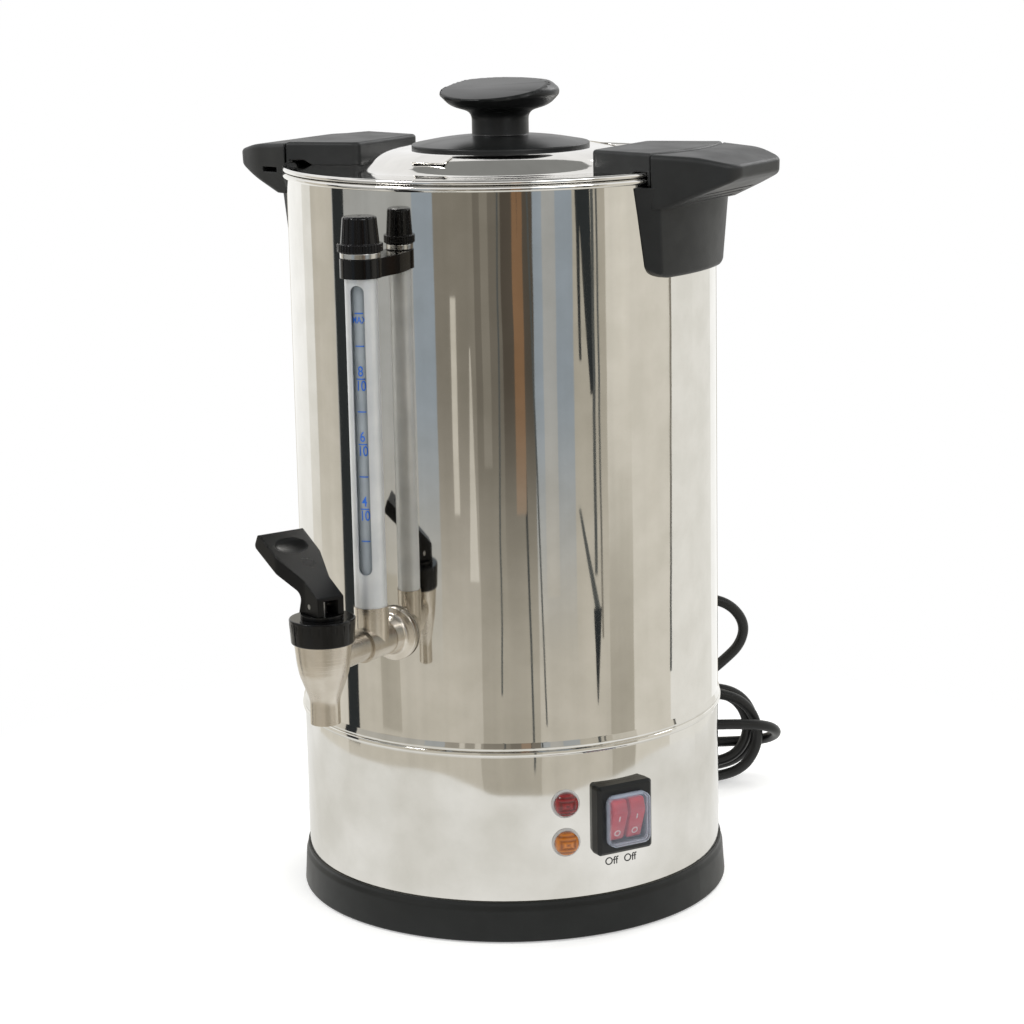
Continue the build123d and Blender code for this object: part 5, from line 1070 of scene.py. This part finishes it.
# --- lid knob -----------------------------------------------------------------------------------------
@dataclass(frozen=True)
class LidKnob:
    """Mushroom knob with a wide flange and one sloping face on its head. Millimetres; shares of head_r."""

    base_z: float = 398.3
    flange_r: float = 46.7
    flange_edge: float = 2.0
    flange_h: float = 6.2
    sunk: float = 0.5
    neck_r: float = 14.9
    neck_top: float = 14.7
    head_r: float = 31.2
    head_z: float = 28.5
    crown: float = 6.6
    under_share: float = 0.84
    shoulder_share: float = 0.86
    flat_share: float = 0.5
    facet_drop: float = 9.1
    facet_edge: float = 1.6
    arc_steps: int = 5
    side_share: float = 0.48
    segments: int = 128

    def corners(self) -> list[Triple]:
        """Corners of the outline, from the flange's foot to the crown.

        Returns:
            Radius, height over the lid, and how far the rounding reaches, for each corner.
        """
        rise = self.head_z - self.neck_top
        top = self.head_z + self.crown
        return [
            (self.flange_r, -self.sunk, 0.0), (self.flange_r, self.flange_edge, 0.8),
            ((self.flange_r + self.neck_r) / 2, self.flange_h * 0.8, 8.0),
            (self.neck_r, self.flange_h, 0.8), (self.neck_r, self.neck_top + rise / 4, 4.0),
            (self.head_r * self.under_share, self.head_z - rise / 2, 5.0),
            (self.head_r, self.head_z - self.crown / 4, 1.6),
            (self.head_r, self.head_z + self.crown / 5, 1.6),
            (self.head_r * self.shoulder_share, top - self.crown / 5, 2.5),
            (self.head_r * self.flat_share, top, 6.0), (0.0, top, 0.0),
        ]

    def outline(self) -> list[Pair]:
        """Outline with its corners rounded.

        Returns:
            (radius, height) points.
        """
        corners = [Vector(corner[:2]) for corner in self.corners()]
        reaches = [corner[2] for corner in self.corners()]
        points = [tuple(corners[0])]
        for before, corner, after, reach in zip(corners, corners[1:], corners[2:], reaches[1:]):
            sides = (before - corner).length, (after - corner).length
            reach = min(reach, min(sides) * self.side_share)
            start = corner + (before - corner).normalized() * reach
            end = corner + (after - corner).normalized() * reach
            for step in range(self.arc_steps + 1):
                share = step / self.arc_steps
                spot = start * (1 - share) ** 2 + corner * 2 * share * (1 - share) + end * share ** 2
                points.append(tuple(spot))
        return [*points, tuple(corners[-1])]

    def build(self) -> None:
        """Turns the knob, cuts its sloping face and rounds the cut's edge."""
        bm = bmesh.new()
        bm.from_mesh(lathe("lid_knob_turned", self.outline(), self.segments, smooth=180))
        spot = Vector((0, -self.head_r, self.head_z + self.crown - self.facet_drop)) * MM
        geometry = [*bm.verts, *bm.edges, *bm.faces]
        cut = bmesh.ops.bisect_plane(bm, geom=geometry, plane_co=spot, plane_no=KNOB_FACING, clear_outer=True)
        loop = [item for item in cut["geom_cut"] if isinstance(item, bmesh.types.BMEdge)]
        bmesh.ops.contextual_create(bm, geom=loop)
        bmesh.ops.bevel(bm, geom=loop, offset=self.facet_edge * MM, segments=4, affect="EDGES", profile=0.5)
        knob = add_piece("lid_knob_turned", finish_mesh("lid_knob_turned", bm, smooth=60), KNOB_BLACK,
                         place_mm(0, 0, self.base_z), "lid")
        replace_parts(knob, "lid_knob")


# --- signal lamps ---------------------------------------------------------------------------------------
@dataclass(frozen=True)
class SignalLamp:
    """Domed prismatic lens with a thin clear flange on the lower housing. Millimetres."""

    name: str
    z: float
    finish: Finish
    lens_r: float = 6.3
    lens_out: float = 5.6
    edge_out: float = 2.2
    flange_r: float = 7.5
    flange_t: float = 1.0
    flange_edge: Pair = (0.5, 0.4)
    gap: float = 0.05
    sunk: float = -0.8
    rings: int = 14
    segments: int = 64

    def matrix(self) -> Matrix:
        """Frame of the lamp: local Z points out of the wall."""
        return turned(LAMP_ANGLE) @ place_mm(0, -TANK_R, self.z) @ Matrix.Rotation(math.radians(90), 4, "X")

    def build(self) -> None:
        """Builds lens and flange."""
        dome = [(self.lens_r, self.sunk), (self.lens_r, self.edge_out)]
        for ring in range(1, self.rings + 1):
            angle = math.pi / 2 * ring / self.rings
            rise = (self.lens_out - self.edge_out) * math.sin(angle)
            radius = self.lens_r * math.cos(angle) if ring < self.rings else 0.0
            dome.append((radius, self.edge_out + rise))
        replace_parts(self.turned_piece("dome", dome, self.finish), self.name)
        bore = self.lens_r + self.gap
        flange = [
            (bore, self.sunk), (bore, self.flange_t), (self.flange_r - self.flange_edge[0], self.flange_t),
            (self.flange_r, self.flange_t - self.flange_edge[1]), (self.flange_r, self.sunk),
        ]
        self.turned_piece("flange", flange, LENS_CLEAR)

    def turned_piece(self, part: str, profile: list[Pair], finish: Finish) -> bpy.types.Object:
        """Builds one round piece of the lamp.

        Args:
            part: what the piece is, added to the lamp's name.
            profile: (radius, height) points.
            finish: its finish.

        Returns:
            The piece.
        """
        name = f"{self.name}_{part}"
        return add_piece(name, lathe(name, profile, self.segments), finish, self.matrix())


# --- printed and moulded marks ----------------------------------------------------------------------------
@dataclass(frozen=True)
class RoundSpot:
    """Place for a mark on an upright round surface. Lengths in millimetres, the angle in degrees."""

    axis: Pair
    radius: float
    angle: float
    z: float
    cut: float = 0.8

    def wrap(self, name: str, mesh: bpy.types.Mesh, finish: Finish) -> bpy.types.Object:
        """Cuts a flat mesh into upright strips and lays it on the surface.

        Args:
            name: name of the piece.
            mesh: flat mesh in the XY plane, in metres.
            finish: its ink.

        Returns:
            The piece.
        """
        bm = bmesh.new()
        bm.from_mesh(mesh)
        reach = max(abs(vert.co.x) for vert in bm.verts)
        count = int(reach / (self.cut * MM)) + 1
        for step in range(-count, count + 1):
            geometry = [*bm.verts, *bm.edges, *bm.faces]
            place = (step * self.cut * MM, 0, 0)
            bmesh.ops.bisect_plane(bm, geom=geometry, plane_co=place, plane_no=(1, 0, 0))
        radius = self.radius * MM
        for vert in bm.verts:
            angle = math.radians(self.angle) + vert.co.x / radius
            vert.co = Vector((
                self.axis[0] * MM + radius * math.sin(angle), self.axis[1] * MM - radius * math.cos(angle),
                self.z * MM + vert.co.y,
            ))
        return add_piece(name, finish_mesh(name, bm), finish, Matrix.Identity(4))


@dataclass(frozen=True)
class PrintedText:
    """Text printed on a round surface. Millimetres; squeeze narrows the letters."""

    name: str
    text: str
    size: float
    finish: Finish
    spot: RoundSpot
    bold: float = 0.0
    squeeze: float = 1.0

    def flat_mesh(self) -> bpy.types.Mesh:
        """Filled outline of the text, centred.

        Returns:
            The mesh, flat in the XY plane, in metres.
        """
        curve = bpy.data.curves.new(self.name, "FONT")
        curve.body = self.text
        curve.size = self.size * MM
        curve.offset = self.bold * MM
        curve.align_x = "CENTER"
        curve.align_y = "CENTER"
        carrier = put_in_scene(self.name, curve)
        bpy.context.view_layer.update()
        mesh = bpy.data.meshes.new_from_object(carrier.evaluated_get(bpy.context.evaluated_depsgraph_get()))
        bpy.data.objects.remove(carrier)
        mesh.transform(Matrix.Diagonal((self.squeeze, 1.0, 1.0, 1.0)))
        return mesh

    def build(self) -> None:
        """Wraps the text round its surface."""
        self.spot.wrap(self.name, self.flat_mesh(), self.finish)


def bar_mesh(name: str, width: float, height: float) -> bpy.types.Mesh:
    """Flat rectangle round the origin.

    Args:
        name: name of the mesh.
        width: along X, in millimetres.
        height: along Y, in millimetres.

    Returns:
        The mesh, in metres.
    """
    bm = bmesh.new()
    corners = [(-1, -1), (1, -1), (1, 1), (-1, 1)]
    bm.faces.new([bm.verts.new((x * width / 2 * MM, y * height / 2 * MM, 0)) for x, y in corners])
    mesh = bpy.data.meshes.new(name)
    bm.to_mesh(mesh)
    bm.free()
    return mesh


@dataclass(frozen=True)
class GaugeScale:
    """Blue scale on the sight glass: a line for each tenth, and fractions at every other one.

    Millimetres. The word at the full line has its size and its drop as shares of the digits' height.
    """

    glass_r: float = 5.62
    turn: float = 17.0
    zero_z: float = 165.5
    step: float = 16.3
    first: int = 3
    last: int = 9
    line_w: float = 4.6
    line_h: float = 0.6
    digit: float = 7.2
    word_share: float = 0.66
    word_drop: float = 0.48
    squeeze: float = 0.76
    bold: float = 0.06
    full_z: float = 328.4

    def spot(self, z: float) -> RoundSpot:
        """Place on the front of the glass."""
        return RoundSpot((0, -GAUGE_RHO), self.glass_r, self.turn, z)

    def line(self, name: str, z: float) -> None:
        """One level line."""
        self.spot(z).wrap(name, bar_mesh(name, self.line_w, self.line_h), INK_BLUE)

    def text(self, name: str, text: str, size: float, z: float) -> None:
        """One printed figure or word."""
        PrintedText(name, text, size, INK_BLUE, self.spot(z), self.bold, self.squeeze).build()

    def build(self) -> None:
        """Prints the scale."""
        for tenth in range(self.first, self.last + 1):
            z = self.zero_z + self.step * tenth
            self.line(f"scale_line_{tenth}", z)
            if tenth % 2 == 0:
                self.text(f"scale_over_{tenth}", str(tenth), self.digit, z + self.digit / 2)
                self.text(f"scale_under_{tenth}", "10", self.digit, z - self.digit / 2)
        self.line("scale_line_full", self.full_z)
        word_z = self.full_z - self.digit * self.word_drop
        self.text("scale_full", "MAX", self.digit * self.word_share, word_z)


@dataclass(frozen=True)
class Rocker:
    """Switch rocker with a raised knee, and its raised on and off marks. Millimetres."""

    rocker: str
    body: str
    x: float
    tilt: float = 10.0
    pivot_rho: float = 115.9
    width: float = 8.6
    edge: float = 0.5
    # Side outline as (up, out) from the pivot: back, upper lip, knee, and front face down to its lower lip.
    side: tuple[Pair, ...] = (
        (-9.3, -4.6), (9.3, -4.6), (11.2, 1.2), (10.6, 2.6),
        (5.6, 5.0), (4.6, 4.7), (-10.8, 2.7), (-11.3, 1.9),
    )
    marks: Pair = (1.6, -7.0)
    bar: Triple = (0.6, 3.0, 0.3)
    bar_edge: float = 0.1
    bar_lift: float = 0.05
    ring_r: float = 1.55
    ring_wire: float = 0.28
    wire_steps: int = 10
    ring_steps: int = 36

    def matrix(self) -> Matrix:
        """Frame of the rocker.

        Returns:
            The matrix: local Y is up and local Z points out of the switch frame.
        """
        matrix = turned(SWITCH_ANGLE) @ place_mm(self.x, -self.pivot_rho, SWITCH_Z)
        matrix = matrix @ Matrix.Rotation(math.radians(self.tilt), 4, "X")
        return matrix @ Matrix.Rotation(math.radians(90), 4, "X")

    def on_front(self, up: float) -> Matrix:
        """Frame of a mark on the long front face.

        Args:
            up: height of the mark over the pivot.

        Returns:
            The matrix, with its local Z square to the face.
        """
        (top, top_out), (foot, foot_out) = self.side[5], self.side[6]
        slope = (top_out - foot_out) / (top - foot)
        place = place_mm(0, up, top_out - slope * (top - up))
        return self.matrix() @ place @ Matrix.Rotation(math.atan(slope), 4, "X")

    def shell(self) -> None:
        """Builds the rocker from its side outline."""
        bm = bmesh.new()
        ends = []
        for x in (-self.width / 2, self.width / 2):
            ends.append([bm.verts.new((x * MM, up * MM, out * MM)) for up, out in self.side])
            bm.faces.new(ends[-1])
        for i in range(len(self.side)):
            following = (i + 1) % len(self.side)
            bm.faces.new((ends[0][i], ends[0][following], ends[1][following], ends[1][i]))
        bmesh.ops.bevel(bm, geom=bm.edges, offset=self.edge * MM, segments=3, affect="EDGES",
                        clamp_overlap=True)
        shell = add_piece(f"{self.rocker}_shell", finish_mesh("rocker_shell", bm, smooth=50), ROCKER_RED,
                          self.matrix(), self.body)
        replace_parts(shell, self.rocker)

    def build(self) -> None:
        """Builds the rocker, and the bar and the ring on its front."""
        self.shell()
        bm = bmesh.new()
        bmesh.ops.create_cube(bm, size=MM, matrix=Matrix.Diagonal((*self.bar, 1.0)))
        bmesh.ops.bevel(bm, geom=bm.edges, offset=self.bar_edge * MM, segments=2, affect="EDGES")
        add_piece(f"{self.rocker}_on_mark", finish_mesh("on_mark", bm), INK_WHITE,
                  self.on_front(self.marks[0]) @ place_mm(0, 0, self.bar_lift), self.body)
        angles = [math.pi * 2 * i / self.wire_steps for i in range(self.wire_steps + 1)]
        wire = [(self.ring_r + self.ring_wire * math.cos(a), self.ring_wire * math.sin(a)) for a in angles]
        add_piece(f"{self.rocker}_off_mark", lathe("off_mark", wire, self.ring_steps), INK_WHITE,
                  self.on_front(self.marks[1]), self.body)


@dataclass(frozen=True)
class SwitchLegend:
    """The word Off, printed under each rocker on the steel. Millimetres."""

    offset: float = 5.6
    z: float = 38.6
    size: float = 5.8
    bold: float = 0.04
    ink: float = 0.08
    cut: float = 2.0

    def build(self) -> None:
        """Prints both words."""
        for name, side in (("left", -1), ("right", 1)):
            angle = SWITCH_ANGLE + side * math.degrees(self.offset / TANK_R)
            spot = RoundSpot((0, 0), TANK_R + self.ink, angle, self.z, self.cut)
            PrintedText(f"legend_off_{name}", "Off", self.size, INK_BLACK, spot, self.bold).build()


def main() -> None:
    """Builds the scene in order."""
    logging.basicConfig(level=logging.INFO, format="%(name)s: %(message)s")
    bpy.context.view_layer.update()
    StudioCamera().build()
    SupplyCord().build()
    Studio().build()
    dress_cad_nodes()
    CordGland().build()
    LidKnob().build()
    ValveSpring().build()
    SignalLamp("lamp_lens_boil", 72.9, LENS_RED).build()
    SignalLamp("lamp_lens_warm", 52.2, LENS_AMBER).build()
    GaugeScale().build()
    SwitchLegend().build()
    Rocker("rocker_boil", "boil_rocker", -5.2).build()
    Rocker("rocker_warm", "warm_rocker", 5.2).build()


if __name__ == "__main__":
    main()
